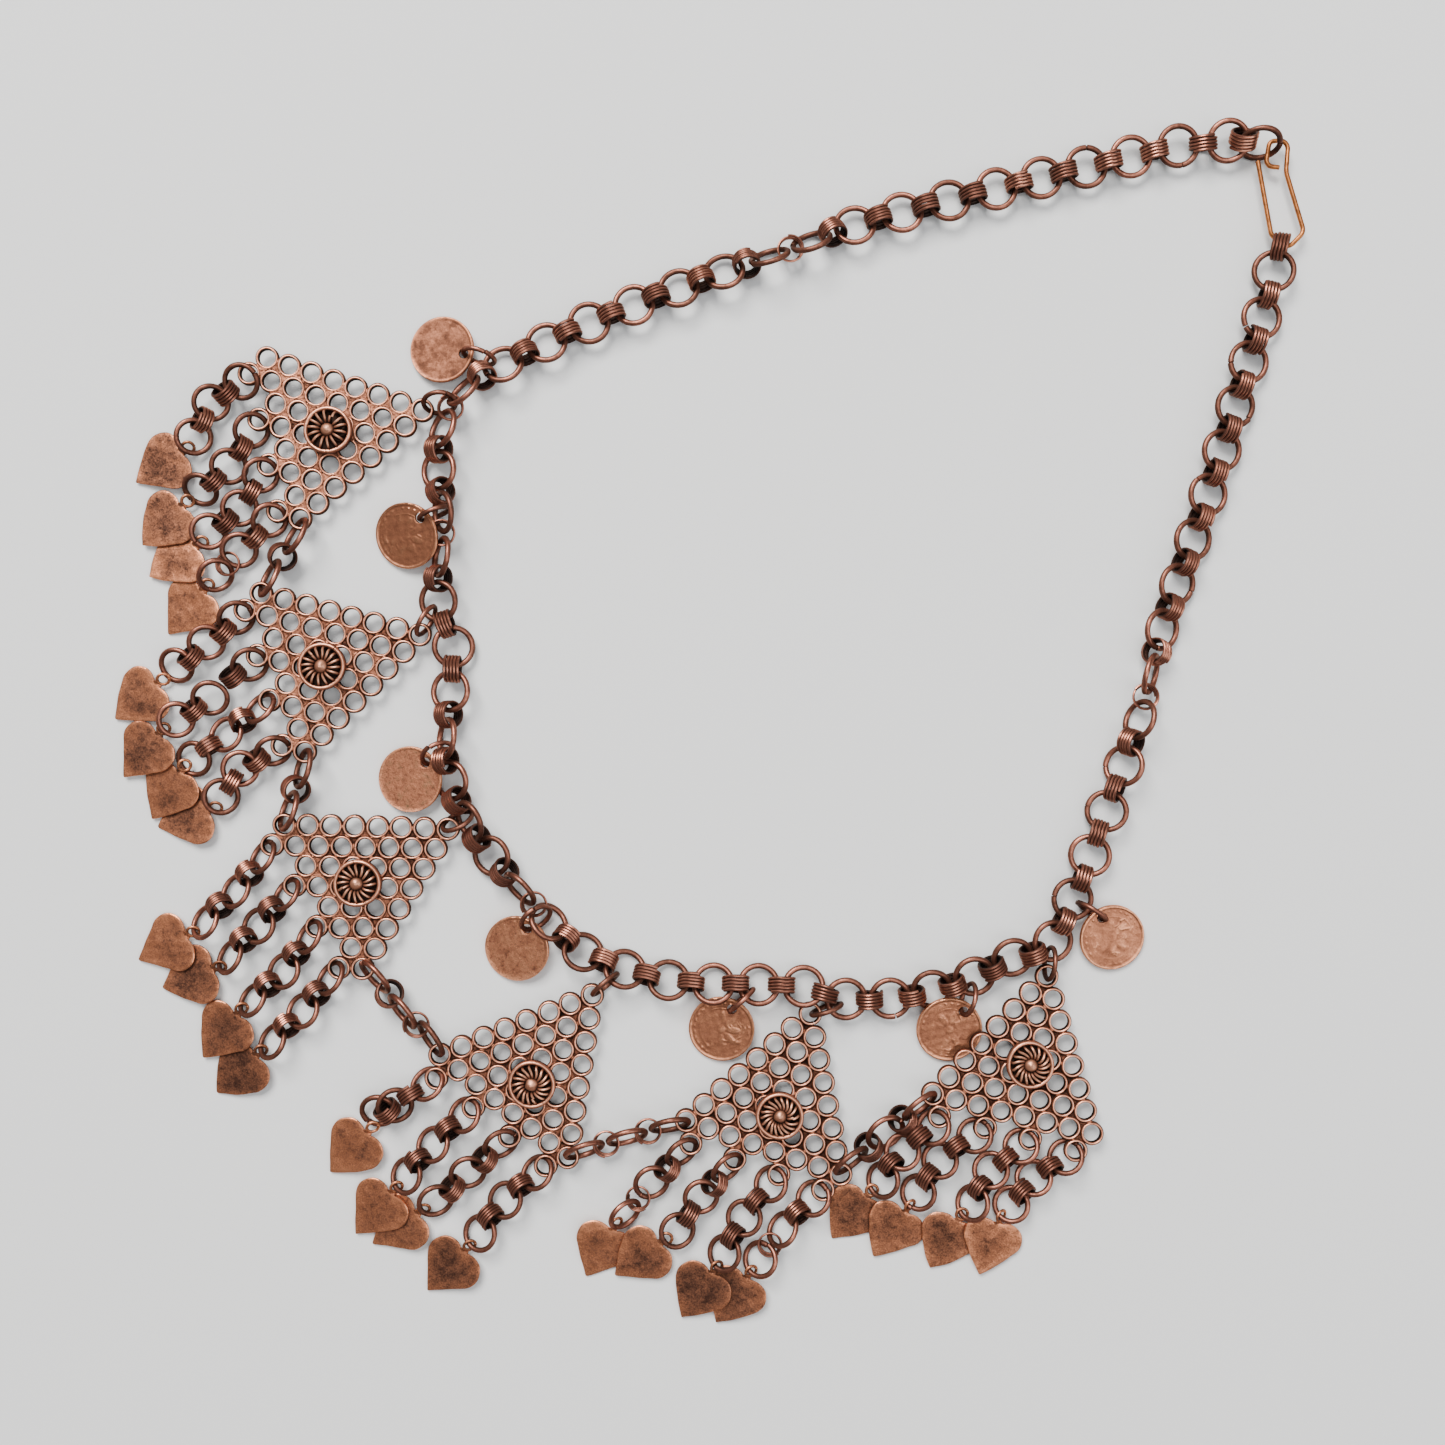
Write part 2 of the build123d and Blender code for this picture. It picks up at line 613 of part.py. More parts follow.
def coin_solid(with_relief):
    """Pierced coin round Z with its hole towards +X, its underside at Z = 0."""
    centre_up = (Align.CENTER, Align.CENTER, Align.MIN)
    coin = Cylinder(COIN_D / 2, COIN_THICK, align=centre_up)
    rim = Cylinder(COIN_D / 2, COIN_THICK + COIN_RELIEF, align=centre_up)
    rim -= Cylinder(COIN_D / 2 - COIN_RIM, COIN_THICK + 1, align=centre_up)
    coin += rim
    if with_relief:
        bead_place = COIN_D / 2 - COIN_RIM * 2.1
        bead = Cylinder(COIN_RIM * 0.42, COIN_THICK + COIN_RELIEF, align=centre_up)
        coin += [Rot(0, 0, (n + 0.5) * 360 / BEADS) * Pos(bead_place, 0) * bead for n in range(BEADS)]
        petal_height = COIN_THICK + COIN_RELIEF
        petal = extrude(Pos(COIN_D * 0.17, 0) * Ellipse(COIN_D * 0.1, COIN_D * 0.042), petal_height)
        coin += [Rot(0, 0, (n + 0.5) * 360 / PETALS) * petal for n in range(PETALS)]
        coin += Cylinder(COIN_D * 0.05, petal_height, align=centre_up)
    hole = Pos(COIN_HOLE_PLACE, 0, -1) * Cylinder(COIN_HOLE_D / 2, COIN_THICK + 3, align=centre_up)
    return coin - hole


def coin_piece(node, row):
    """A coin whose far edge lies on the surface and whose hole's side is raised."""
    x, y, heading, tilt = row[:4]
    place = Location(spot(x, y, COIN_D / 2 * sin(radians(tilt)))) * Rot(0, 0, heading) * Rot(0, -tilt, 0)
    half, wall = COIN_THICK / 2, 0.05
    points, thick = [], []
    for radius in np.arange(0.2, COIN_D / 2 - half + 0.01, half):
        for px, py, _ in circle_points(radius, max(6, int(2 * pi * radius / half))):
            if hypot(px - COIN_HOLE_PLACE, py) > COIN_HOLE_D / 2 + half:
                points.append((px, py, half))
                thick.append(half)
    for px, py, _ in circle_points(COIN_HOLE_D / 2 + wall, 36) + circle_points(COIN_D / 2 - wall, 72):
        shift = COIN_HOLE_PLACE if hypot(px, py) < COIN_D / 3 else 0.0
        for z in (wall, half, COIN_THICK + COIN_RELIEF - wall):
            points.append((px + shift, py, z))
            thick.append(wall)
    return Piece(node, "coin", Plane(place), points, thick)


def drop_run(plate_row, hanging_place, eye):
    """Frame at the start of a drop chain's tube on the surface, and where it starts and ends along X."""
    spots, hanging = lattice()
    start = (plate_frame(plate_row).location * Location((*hanging[hanging_place], 0))).position
    run = Vector(eye.X - start.X, eye.Y - start.Y, 0)
    frame = Plane(origin=(start.X, start.Y, DROP_TUBE_D / 2), x_dir=run.normalized(), z_dir=(0, 0, 1))
    return frame, TUBE_OD / 2 + DROP_CLEAR, run.length - EYE_OD / 2 - DROP_CLEAR


def drop_outline(near, far):
    """Places along a drop chain's tube and its radius there; both ends are tapered."""
    r = DROP_TUBE_D / 2
    return [(near, r / 2), (near + DROP_TAPER / 2, r), (far - DROP_TAPER, r), (far, r / 3)]


def drop_piece(node, plate_row, hanging_place, eye):
    frame, near, far = drop_run(plate_row, hanging_place, eye)
    r, edge = DROP_TUBE_D / 2, 0.05
    points = [(x, 0.0, 0.0) for x in np.arange(near + edge, far, DROP_TUBE_D / 15)]
    thick = [min(r, x - near, far - x) for x, _, _ in points]
    for x, radius in drop_outline(near, far):
        points += [(x, y, z) for y, z, _ in circle_points(radius - edge, 24)]
        thick += [edge] * 24
    return Piece(node, "drop", frame, points, thick, fixed=True)


def drop_tube(plate_row, hanging_place, eye):
    """Plain tube from a plate's hanging ring to a heart's eye."""
    frame, near, far = drop_run(plate_row, hanging_place, eye)
    half = make_face(Polyline((near, 0), *drop_outline(near, far), (far, 0), close=True))
    return frame.location * revolve(half, Axis.X)


def hook_path():
    """Wire route of the hook: straight runs joined by arcs, in one level plane."""
    points = [spot(x, y, HOOK_HEIGHT) for x, y, _ in HOOK_ROUTE]
    radii = [radius for _, _, radius in HOOK_ROUTE[1:-1]]
    return FilletPolyline(*points, radius=radii)


def hook_solid():
    path = hook_path()
    start = Plane(origin=path @ 0, z_dir=path % 0)
    return sweep(start * Circle(HOOK_WIRE / 2), path=path)


def hook_piece(node):
    path = hook_path()
    points = [tuple(path @ (n / 300)) for n in range(301)]
    return Piece(node, "hook", Plane.XY, points, HOOK_WIRE / 2, fixed=True)


def lay_out():
    """Every piece in its place: the links, plates, coins, hearts, drop chains and hook."""
    pieces = lay_chain(NECK_ROUTE, "neck_chain_left", "neck_chain_right")
    for n, route in enumerate(JOINING_ROUTES, 1):
        pieces += lay_chain(route, f"link_chain_{n}")
    neck = list(pieces)
    for n, (row, place) in enumerate(zip(COINS, COIN_LINKS), 1):
        coin = coin_piece(f"coin_{n}", row)
        pieces += [coin, jump_ring("coin_rings", neck[place], *coin_hold(coin))]
    for p, (row, place) in enumerate(zip(PLATES, PLATE_LINKS), 1):
        plate = plate_piece(f"triangle_plate_{p}", row)
        pieces += [plate, jump_ring("plate_rings", neck[place], *apex_hold(plate, neck[place]))]
        for n, (heart_row, roll) in enumerate(zip(HEARTS[p - 1], HEART_ROLLS[p - 1])):
            pieces.append(heart_piece(f"heart_{p}_{n + 1}", heart_row, roll))
            pieces.append(drop_piece(f"drop_chains_{p}", row, n, spot(heart_row[0], heart_row[1])))
    pieces.append(hook_piece("clasp_hook"))
    settle(pieces)
    return pieces


def build_nodes():
    """All solids of the necklace, by node name."""
    coil = coil_solid()
    rings = {kind: torus(*sizes) for kind, sizes in RING_SIZES.items()}
    heart = heart_solid()
    coins = {with_relief: coin_solid(with_relief) for with_relief in (True, False)}
    nodes = {}
    for piece in lay_out():
        place = piece.frame().location
        number = int(piece.node.split("_")[-1]) if piece.node[-1].isdigit() else 0
        solids = nodes.setdefault(piece.node, [])
        if piece.kind in rings:
            solids.append(place * rings[piece.kind])
        elif piece.kind == "coil":
            solids.append(place * Rot(90, 0, 0) * coil)
        elif piece.kind == "heart":
            solids.append(place * heart)
            plate = int(piece.node.split("_")[1])
            eye = Vector(*piece.origin)
            nodes.setdefault(f"drop_chains_{plate}", []).append(
                drop_tube(PLATES[plate - 1], number - 1, eye))
        elif piece.kind == "coin":
            solids.append(place * coins[COINS[number - 1][4]])
        elif piece.kind == "plate":
            row = PLATES[number - 1]
            solids.append(place * plate_solid((row[3] * UNIT, row[4] * UNIT)))
        elif piece.kind == "hook":
            solids.append(hook_solid())
    return nodes


def main():
    os.makedirs("parts", exist_ok=True)
    nodes = build_nodes()
    whole = Compound([solid for solids in nodes.values() for solid in solids]).bounding_box()
    middle = whole.center()
    home = Location((-middle.X, -middle.Y, -whole.min.Z))
    for name, solids in nodes.items():
        placed = [home * solid for solid in solids]
        shape = placed[0] if len(placed) == 1 else Compound(placed)
        shape.label = name
        export_step(shape, f"parts/{name}.step")
    print(f"size {whole.size.X:.2f} x {whole.size.Y:.2f} x {whole.size.Z:.2f}, moved {home.position}")


if __name__ == "__main__":
    main()
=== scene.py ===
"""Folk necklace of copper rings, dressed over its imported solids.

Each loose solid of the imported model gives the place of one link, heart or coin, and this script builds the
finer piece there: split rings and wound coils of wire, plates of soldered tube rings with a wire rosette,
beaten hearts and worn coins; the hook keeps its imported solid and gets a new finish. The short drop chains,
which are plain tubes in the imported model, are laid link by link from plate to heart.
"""
import logging
from dataclasses import dataclass, field
from enum import Enum
from itertools import combinations
from math import acos, atan2, cos, hypot, pi, radians, sin, sqrt

import bpy
import numpy as np
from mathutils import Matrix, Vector


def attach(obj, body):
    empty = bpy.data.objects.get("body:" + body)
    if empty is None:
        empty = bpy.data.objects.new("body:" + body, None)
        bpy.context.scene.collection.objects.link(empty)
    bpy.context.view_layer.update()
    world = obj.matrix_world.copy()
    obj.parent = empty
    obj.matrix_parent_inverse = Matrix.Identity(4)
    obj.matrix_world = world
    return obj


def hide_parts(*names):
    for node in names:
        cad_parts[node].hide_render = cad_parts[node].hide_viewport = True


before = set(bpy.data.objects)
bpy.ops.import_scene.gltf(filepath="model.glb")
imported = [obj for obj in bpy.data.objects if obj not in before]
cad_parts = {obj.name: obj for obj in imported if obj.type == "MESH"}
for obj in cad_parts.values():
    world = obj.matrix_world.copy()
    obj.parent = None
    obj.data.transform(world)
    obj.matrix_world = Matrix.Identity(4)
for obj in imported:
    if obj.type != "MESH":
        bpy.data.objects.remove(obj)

MM = 0.001
UP = np.array([0.0, 0.0, 1.0])

Socket = bpy.types.NodeSocket
Colour = tuple[float, float, float]
Pair = tuple[float, float]
# Three shares of wear that carry painted highlight and shade too: for a wire, its wear at the middle, painted
# light by how far a face looks up, and wear with painted shade by how far it faces out of the link.
WearAndShade = tuple[float, float, float]

log = logging.getLogger("necklace")


class LinkKind(Enum):
    """The kinds of link that the chains are made of."""

    RING = "ring"
    COIL = "coil"
    THIN = "thin"
    JUMP = "jump"


class Slot(Enum):
    """The record's material slots, which this script defines but gives to no piece."""

    CHAIN = "chain_copper"
    PLATE = "plate_copper"
    HEART = "heart_copper"
    COIN = "coin_copper"


@dataclass(frozen=True)
class LinkSize:
    """Outside diameter and wire of a link, in millimetres."""

    outside: float
    wire: float

    @property
    def middle(self) -> float:
        """Radius of the wire's middle line."""
        return (self.outside - self.wire) / 2

    @property
    def pitch(self) -> float:
        """Distance between two turns of a coil."""
        return self.wire * COIL_SPACING


SIZES: dict[LinkKind, LinkSize] = {
    LinkKind.RING: LinkSize(9.9, 1.32),
    LinkKind.COIL: LinkSize(6.4, 0.72),
    LinkKind.THIN: LinkSize(6.4, 0.8),
    LinkKind.JUMP: LinkSize(8.4, 1.15),
}
DROP_SIZES: dict[LinkKind, LinkSize] = {
    LinkKind.RING: LinkSize(8.7, 1.25),
    LinkKind.COIL: LinkSize(6.0, 0.68),
    LinkKind.THIN: LinkSize(6.0, 0.75),
}
COIL_TURNS = 5
COIL_SPACING = 1.03

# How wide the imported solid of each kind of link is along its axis.
SOLID_WIDTHS: dict[LinkKind, float] = {
    LinkKind.RING: 1.32, LinkKind.COIL: 3.68, LinkKind.THIN: 0.8, LinkKind.JUMP: 1.15}


@dataclass(frozen=True)
class PhotoView:
    """Scale and middle of the photographed view from above.

    Attributes:
        unit: millimetres on the surface under one picture unit.
        middle: picture coordinate of the view's middle, across and down.
        height: the camera's height over the surface in millimetres.
        shift: where the view's middle lies in the row frame, in millimetres.
    """

    unit: float = 0.229
    middle: float = 722.5
    height: float = 358.0
    shift: Pair = (3.2814, 0.3154)

    def spot(self, x: float, y: float, height: float = 0.0) -> np.ndarray:
        """Point in millimetres under a picture point.

        Args:
            x: picture units to the right.
            y: picture units down.
            height: height over the surface in millimetres.

        Returns:
            The point in the row frame.
        """
        scale = self.unit * (self.height - height) / self.height
        return np.array([(x - self.middle) * scale + self.shift[0],
                         (self.middle - y) * scale + self.shift[1], height])


VIEW = PhotoView()


def unit_vector(vector: np.ndarray) -> np.ndarray:
    """The vector at length one."""
    return vector / max(float(np.linalg.norm(vector)), 1e-9)


def around(radius: np.ndarray | float, angle: np.ndarray, height: np.ndarray | float = 0.0) -> np.ndarray:
    """Points at these distances, angles and heights round an upright axis."""
    places = np.broadcast_arrays(radius * np.cos(angle), radius * np.sin(angle), height)
    return np.stack(places, -1)


def angles(steps: int) -> np.ndarray:
    """Even angles round a circle."""
    return np.arange(steps) * 2 * pi / steps


@dataclass
class Pose:
    """Place of a piece: its origin and its three axes as rows."""

    origin: np.ndarray
    axes: np.ndarray

    def out(self, points: np.ndarray) -> np.ndarray:
        """Local points in the row frame."""
        return points @ self.axes + self.origin

    @classmethod
    def facing(cls, origin: np.ndarray, normal: np.ndarray, along: np.ndarray) -> "Pose":
        """Pose from a normal and a rough direction.

        Args:
            origin: the piece's middle.
            normal: direction of local Z.
            along: rough direction of local X.

        Returns:
            The pose with local X as near to along as the normal allows.
        """
        z = unit_vector(normal)
        x = unit_vector(along - z * (along @ z))
        return cls(origin, np.array([x, np.cross(z, x), z]))


class Surface:
    """Collects patches of a metal piece in millimetres, with a tone and a wear at each point; the wear
    carries painted highlight and shade too.
    """

    def __init__(self) -> None:
        """Starts with no points."""
        self.points: list[np.ndarray] = []
        self.tones: list[np.ndarray] = []
        self.wears: list[np.ndarray] = []
        self.fours: list[np.ndarray] = []
        self.threes: list[np.ndarray] = []
        self.total = 0

    def add(self, points: np.ndarray, tone: float, wear: np.ndarray | float) -> np.ndarray:
        """Adds loose points.

        Args:
            points: any array of points whose last axis is x, y, z.
            tone: the piece's own shade from 0 to 1.
            wear: rubbed bright at 1 and dark at 0, with painted highlight and shade mixed in, for each point
                or for all.

        Returns:
            The points' numbers, in the shape that the array had.
        """
        flat = points.reshape(-1, 3)
        numbers = self.total + np.arange(len(flat))
        self.points.append(flat)
        self.tones.append(np.full(len(flat), tone))
        self.wears.append(np.broadcast_to(wear, points.shape[:-1]).reshape(-1).astype(float))
        self.total += len(flat)
        return numbers.reshape(points.shape[:-1])

    def grid(self, points: np.ndarray, tone: float, wear: np.ndarray | float,
             around: bool = True, along: bool = False, flip: bool = False) -> np.ndarray:
        """Adds a patch of four-sided faces.

        Args:
            points: rows by columns by three.
            tone: the piece's own shade.
            wear: wear for each point or for all.
            around: closes each row on itself.
            along: closes the last row on the first.
            flip: turns the faces over.

        Returns:
            The points' numbers, rows by columns.
        """
        numbers = self.add(points, tone, wear)
        near = numbers if along else numbers[:-1]
        far = np.roll(numbers, -1, 0) if along else numbers[1:]
        if around:
            near_next, far_next = np.roll(near, -1, 1), np.roll(far, -1, 1)
        else:
            near, near_next, far, far_next = near[:, :-1], near[:, 1:], far[:, :-1], far[:, 1:]
        corners = [near, far, far_next, near_next]
        if flip:
            corners.reverse()
        self.fours.append(np.stack(corners, -1).reshape(-1, 4))
        return numbers

    def fan(self, rim: np.ndarray, centre: np.ndarray, tone: float, wear: float, flip: bool = False) -> None:
        """Closes a rim of points with a fan round a middle point.

        Args:
            rim: numbers of the rim's points, in order.
            centre: the middle point.
            tone: the piece's own shade.
            wear: wear of the middle point.
            flip: turns the faces over.
        """
        middle = self.add(centre[None], tone, wear)[0]
        after = np.roll(rim, -1)
        corners = [np.full(len(rim), middle), rim, after]
        if flip:
            corners.reverse()
        self.threes.append(np.stack(corners, -1))

    def mark(self) -> tuple[int, int]:
        """How many patches of four-sided faces and how many fans there are."""
        return len(self.fours), len(self.threes)

    def turn_out(self, mark: tuple[int, int]) -> None:
        """Turns the newest faces over, if they face into their closed form.

        Args:
            mark: how many patches and fans are older.
        """
        four, three = mark
        corners = np.concatenate(self.points)[np.concatenate(self.fours[four:])]
        a, b, c, d = (corners - corners.mean((0, 1))).transpose(1, 0, 2)
        volume = ((np.cross(b - a, c - a) + np.cross(c - a, d - a)) * a).sum()
        if volume < 0:
            self.fours[four:] = [faces[:, ::-1] for faces in self.fours[four:]]
            self.threes[three:] = [faces[:, ::-1] for faces in self.threes[three:]]

    def build(self, name: str, crease: float = 38.0) -> bpy.types.Object:
        """Makes the Blender object.

        Args:
            name: name of the piece.
            crease: edges sharper than this, in degrees, stay crisp.

        Returns:
            The new object, in metres and linked to the scene.
        """
        mesh = bpy.data.meshes.new(name)
        points = np.concatenate(self.points) * MM
        parts = [np.concatenate(self.fours)] if self.fours else []
        parts += [np.concatenate(self.threes)] if self.threes else []
        corners = np.concatenate([part.ravel() for part in parts]).astype(np.int32)
        lengths = np.concatenate([np.full(len(part), part.shape[1]) for part in parts])
        mesh.vertices.add(len(points))
        mesh.vertices.foreach_set("co", points.astype(np.float32).ravel())
        mesh.loops.add(len(corners))
        mesh.loops.foreach_set("vertex_index", corners)
        mesh.polygons.add(len(lengths))
        mesh.polygons.foreach_set("loop_start", (np.cumsum(lengths) - lengths).astype(np.int32))
        # The wear layer holds real wear together with painted highlight and shade.
        for key, values in (("tone", self.tones), ("wear", self.wears)):
            layer = mesh.attributes.new(key, "FLOAT", "POINT")
            layer.data.foreach_set("value", np.clip(np.concatenate(values), 0, 1).astype(np.float32))
        mesh.update(calc_edges=True)
        mesh.validate()
        mesh.polygons.foreach_set("use_smooth", np.ones(len(mesh.polygons), dtype=bool))
        mesh.set_sharp_from_angle(angle=radians(crease))
        piece = bpy.data.objects.new(name, mesh)
        bpy.context.scene.collection.objects.link(piece)
        return piece


class Patina:
    """Builds a node material for old copper from the points' tone and their wear, which carries painted
    highlight and shade too.
    """

    def __init__(self, name: str) -> None:
        """Starts an empty material with its shader.

        Args:
            name: name of the material.
        """
        self.material = bpy.data.materials.new(name)
        self.material.use_nodes = True
        self.tree = self.material.node_tree
        self.tree.nodes.clear()
        self.shader = self.node("ShaderNodeBsdfPrincipled")
        output = self.node("ShaderNodeOutputMaterial")
        self.join(self.shader.outputs["BSDF"], output.inputs["Surface"])
        self.place = self.node("ShaderNodeTexCoord").outputs["Object"]

    def node(self, kind: str, inputs: dict[str, float] | None = None, **settings: object) -> bpy.types.Node:
        """Adds a node.

        Args:
            kind: Blender's name for the kind.
            inputs: values of its inputs.
            settings: values of its settings.

        Returns:
            The node.
        """
        made = self.tree.nodes.new(kind)
        for key, value in settings.items():
            setattr(made, key, value)
        for key, value in (inputs or {}).items():
            made.inputs[key].default_value = value
        return made

    def join(self, source: Socket, target: Socket) -> None:
        """Links two sockets."""
        self.tree.links.new(source, target)

    def layer(self, name: str) -> Socket:
        """Value of a point layer of the mesh."""
        return self.node("ShaderNodeAttribute", attribute_name=name).outputs["Fac"]

    def noise(self, size: float, detail: float, rough: float) -> Socket:
        """Noise whose spots are about that many millimetres across.

        Args:
            size: width of a spot in millimetres.
            detail: octaves of finer noise.
            rough: how strong the finer noise is.

        Returns:
            The noise value from 0 to 1.
        """
        values = {"Scale": 1 / (size * MM), "Detail": detail, "Roughness": rough}
        made = self.node("ShaderNodeTexNoise", values)
        self.join(self.place, made.inputs["Vector"])
        return made.outputs["Fac"]

    def patches(self, size: float, edge: Pair, most: float = 1.0) -> Socket:
        """Uneven patches with grainy edges.

        Args:
            size: width of a patch in millimetres.
            edge: noise value where a patch starts and where it is full.
            most: value of a full patch.

        Returns:
            The value, 0 between the patches.
        """
        values = {"From Min": edge[0], "From Max": edge[1], "To Max": most}
        made = self.node("ShaderNodeMapRange", values)
        self.join(self.noise(size, 6.0, 0.68), made.inputs["Value"])
        return made.outputs["Result"]

    def sum(self, terms: list[tuple[Socket, float]], start: float) -> Socket:
        """Weighted sum of values.

        Args:
            terms: values with their weights.
            start: constant added to them.

        Returns:
            The sum, held between 0 and 1.
        """
        total: Socket | None = None
        for index, (value, weight) in enumerate(terms):
            made = self.node("ShaderNodeMath", operation="MULTIPLY_ADD", use_clamp=index == len(terms) - 1)
            self.join(value, made.inputs[0])
            made.inputs[1].default_value = weight
            if total is None:
                made.inputs[2].default_value = start
            else:
                self.join(total, made.inputs[2])
            total = made.outputs[0]
        assert total is not None
        return total

    def ramp(self, value: Socket, stops: tuple[tuple[float, Colour], ...]) -> Socket:
        """Colour read off a row of stops.

        Args:
            value: place on the ramp.
            stops: places with their colours, from low to high.

        Returns:
            The colour.
        """
        made = self.node("ShaderNodeValToRGB")
        elements = made.color_ramp.elements
        while len(elements) < len(stops):
            elements.new(0.5)
        for element, (place, colour) in zip(elements, stops):
            element.position = place
            element.color = (*colour, 1.0)
        self.join(value, made.inputs["Fac"])
        return made.outputs["Color"]

    def between(self, value: Socket, low: float, high: float) -> Socket:
        """Spreads a value between two numbers.

        Args:
            value: a value from 0 to 1.
            low: the result at 0.
            high: the result at 1.

        Returns:
            The result.
        """
        made = self.node("ShaderNodeMapRange", {"To Min": low, "To Max": high})
        self.join(value, made.inputs["Value"])
        return made.outputs["Result"]

    def blend(self, share: Socket, under: Socket, over: Colour) -> Socket:
        """Lays a colour over another by a share.

        Args:
            share: how much of the upper colour shows.
            under: the lower colour.
            over: the upper colour.

        Returns:
            The mixed colour.
        """
        made = self.node("ShaderNodeMix", data_type="RGBA")
        self.join(share, made.inputs[0])
        self.join(under, made.inputs[6])
        made.inputs[7].default_value = (*over, 1.0)
        return made.outputs[2]

    def relief(self, value: Socket, depth: float, under: Socket | None = None) -> Socket:
        """Bump of that depth in millimetres.

        Args:
            value: height from 0 to 1.
            depth: how many millimetres 1 stands up.
            under: normal of a coarser bump below.

        Returns:
            The bumped normal.
        """
        made = self.node("ShaderNodeBump", {"Distance": depth * MM})
        self.join(value, made.inputs["Height"])
        if under is not None:
            self.join(under, made.inputs["Normal"])
        return made.outputs["Normal"]


# Noise values where dark patches, dark specks and green bloom start, and where they are full.
PATCH_EDGE = (0.50, 0.60)
SPECK_EDGE = (0.53, 0.61)
BLOOM_EDGE = (0.52, 0.68)
BLOOM_WIDTH = 2.4
BLOOM_COLOUR: Colour = (0.10, 0.14, 0.07)


@dataclass(frozen=True)
class CopperFinish:
    """Old copper: dark in hollows and where shade is painted, reddish on the flats and bright where it is
    rubbed or a highlight is painted.

    Attributes:
        name: name of the material.
        stops: colours from the darkest hollow or painted shade to the brightest edge or painted highlight.
        blotch: width of the large stains in millimetres.
        blotch_share: how strongly stains darken and lighten.
        patch: width of the dark patches in millimetres.
        patch_share: how strongly they darken.
        speck: width of the dark specks in millimetres.
        speck_share: how strongly they darken.
        grain: width of the fine grain in millimetres.
        grain_share: how strongly the grain colours.
        tone_share: how much the pieces differ from each other.
        lift: brightness added everywhere.
        rough: roughness on bright and on dark places.
        dent: depth of the shallow dents in millimetres.
        dent_width: their width in millimetres.
        scratch: depth of the fine grain in millimetres.
        metallic: share of bare metal on dark and on bright places.
        bloom: share of green bloom.
        shine: strength of the reflection seen head on.
        edge: tint of the reflection at a grazing angle.
    """

    name: str
    stops: tuple[tuple[float, Colour], ...]
    blotch: float = 3.0
    blotch_share: float = 0.5
    patch: float = 2.0
    patch_share: float = 0.0
    speck: float = 0.7
    speck_share: float = 0.0
    grain: float = 0.35
    grain_share: float = 0.2
    tone_share: float = 0.3
    lift: float = 0.0
    rough: Pair = (0.32, 0.55)
    dent: float = 0.03
    dent_width: float = 1.2
    scratch: float = 0.006
    metallic: Pair = (0.25, 1.15)
    bloom: float = 0.0
    shine: float = 0.3
    edge: Colour = (1.0, 0.72, 0.6)

    def material(self) -> bpy.types.Material:
        """Makes the finish's node material.

        Returns:
            The material.
        """
        patina = Patina(self.name)
        wear, tone = patina.layer("wear"), patina.layer("tone")
        blotch = patina.noise(self.blotch, 4.0, 0.6)
        grain = patina.noise(self.grain, 2.0, 0.6)
        start = self.lift - 0.5 * (self.blotch_share + self.grain_share + self.tone_share)
        terms = [(wear, 1.0), (blotch, self.blotch_share), (grain, self.grain_share), (tone, self.tone_share)]
        if self.patch_share:
            terms.append((patina.patches(self.patch, PATCH_EDGE), -self.patch_share))
        if self.speck_share:
            terms.append((patina.patches(self.speck, SPECK_EDGE), -self.speck_share))
        # The points' wear layer carries painted highlight and shade as well as wear; stains, grain and tone
        # are added to it.
        rubbed = patina.sum(terms, start)
        colour = patina.ramp(rubbed, self.stops)
        if self.bloom:
            bloomed = patina.patches(BLOOM_WIDTH, BLOOM_EDGE, self.bloom)
            colour = patina.blend(bloomed, colour, BLOOM_COLOUR)
        inputs = patina.shader.inputs
        patina.join(colour, inputs["Base Color"])
        patina.join(patina.between(rubbed, self.rough[1], self.rough[0]), inputs["Roughness"])
        patina.join(patina.between(rubbed, *self.metallic), inputs["Metallic"])
        inputs["Specular IOR Level"].default_value = self.shine
        inputs["Specular Tint"].default_value = (*self.edge, 1.0)
        dents = patina.relief(patina.noise(self.dent_width, 2.0, 0.5), self.dent)
        fine = patina.relief(grain, self.scratch, dents)
        patina.join(fine, inputs["Normal"])
        return patina.material


RING_FINISH = CopperFinish(
    name="ring_wire_copper",
    stops=((0.0, (0.011, 0.0045, 0.004)), (0.28, (0.040, 0.0163, 0.0113)), (0.55, (0.132, 0.0505, 0.033)),
           (0.80, (0.33, 0.125, 0.084)), (1.0, (0.60, 0.250, 0.165))),
    blotch=2.6, blotch_share=0.44, patch=1.6, patch_share=0.12, grain=0.28, grain_share=0.18, tone_share=0.22,
    rough=(0.31, 0.60), dent=0.035, dent_width=0.9, scratch=0.010)
COIL_FINISH = CopperFinish(
    name="coil_wire_copper",
    stops=((0.0, (0.007, 0.003, 0.0025)), (0.28, (0.034, 0.0137, 0.0098)), (0.55, (0.125, 0.0485, 0.033)),
           (0.80, (0.34, 0.134, 0.090)), (1.0, (0.63, 0.275, 0.178))),
    blotch=2.0, blotch_share=0.38, grain=0.22, grain_share=0.14, tone_share=0.24, rough=(0.25, 0.60),
    dent=0.02, dent_width=0.6)
PLATE_FINISH = CopperFinish(
    name="tube_ring_copper",
    stops=((0.0, (0.006, 0.0028, 0.002)), (0.25, (0.026, 0.0095, 0.006)), (0.5, (0.125, 0.045, 0.026)),
           (0.76, (0.44, 0.168, 0.098)), (1.0, (0.92, 0.415, 0.265))),
    blotch=2.4, blotch_share=0.26, patch=1.4, patch_share=0.12, grain=0.22, grain_share=0.16, tone_share=0.12,
    rough=(0.29, 0.75), metallic=(0.2, 0.92), dent=0.04, dent_width=0.8, scratch=0.014, shine=0.2)
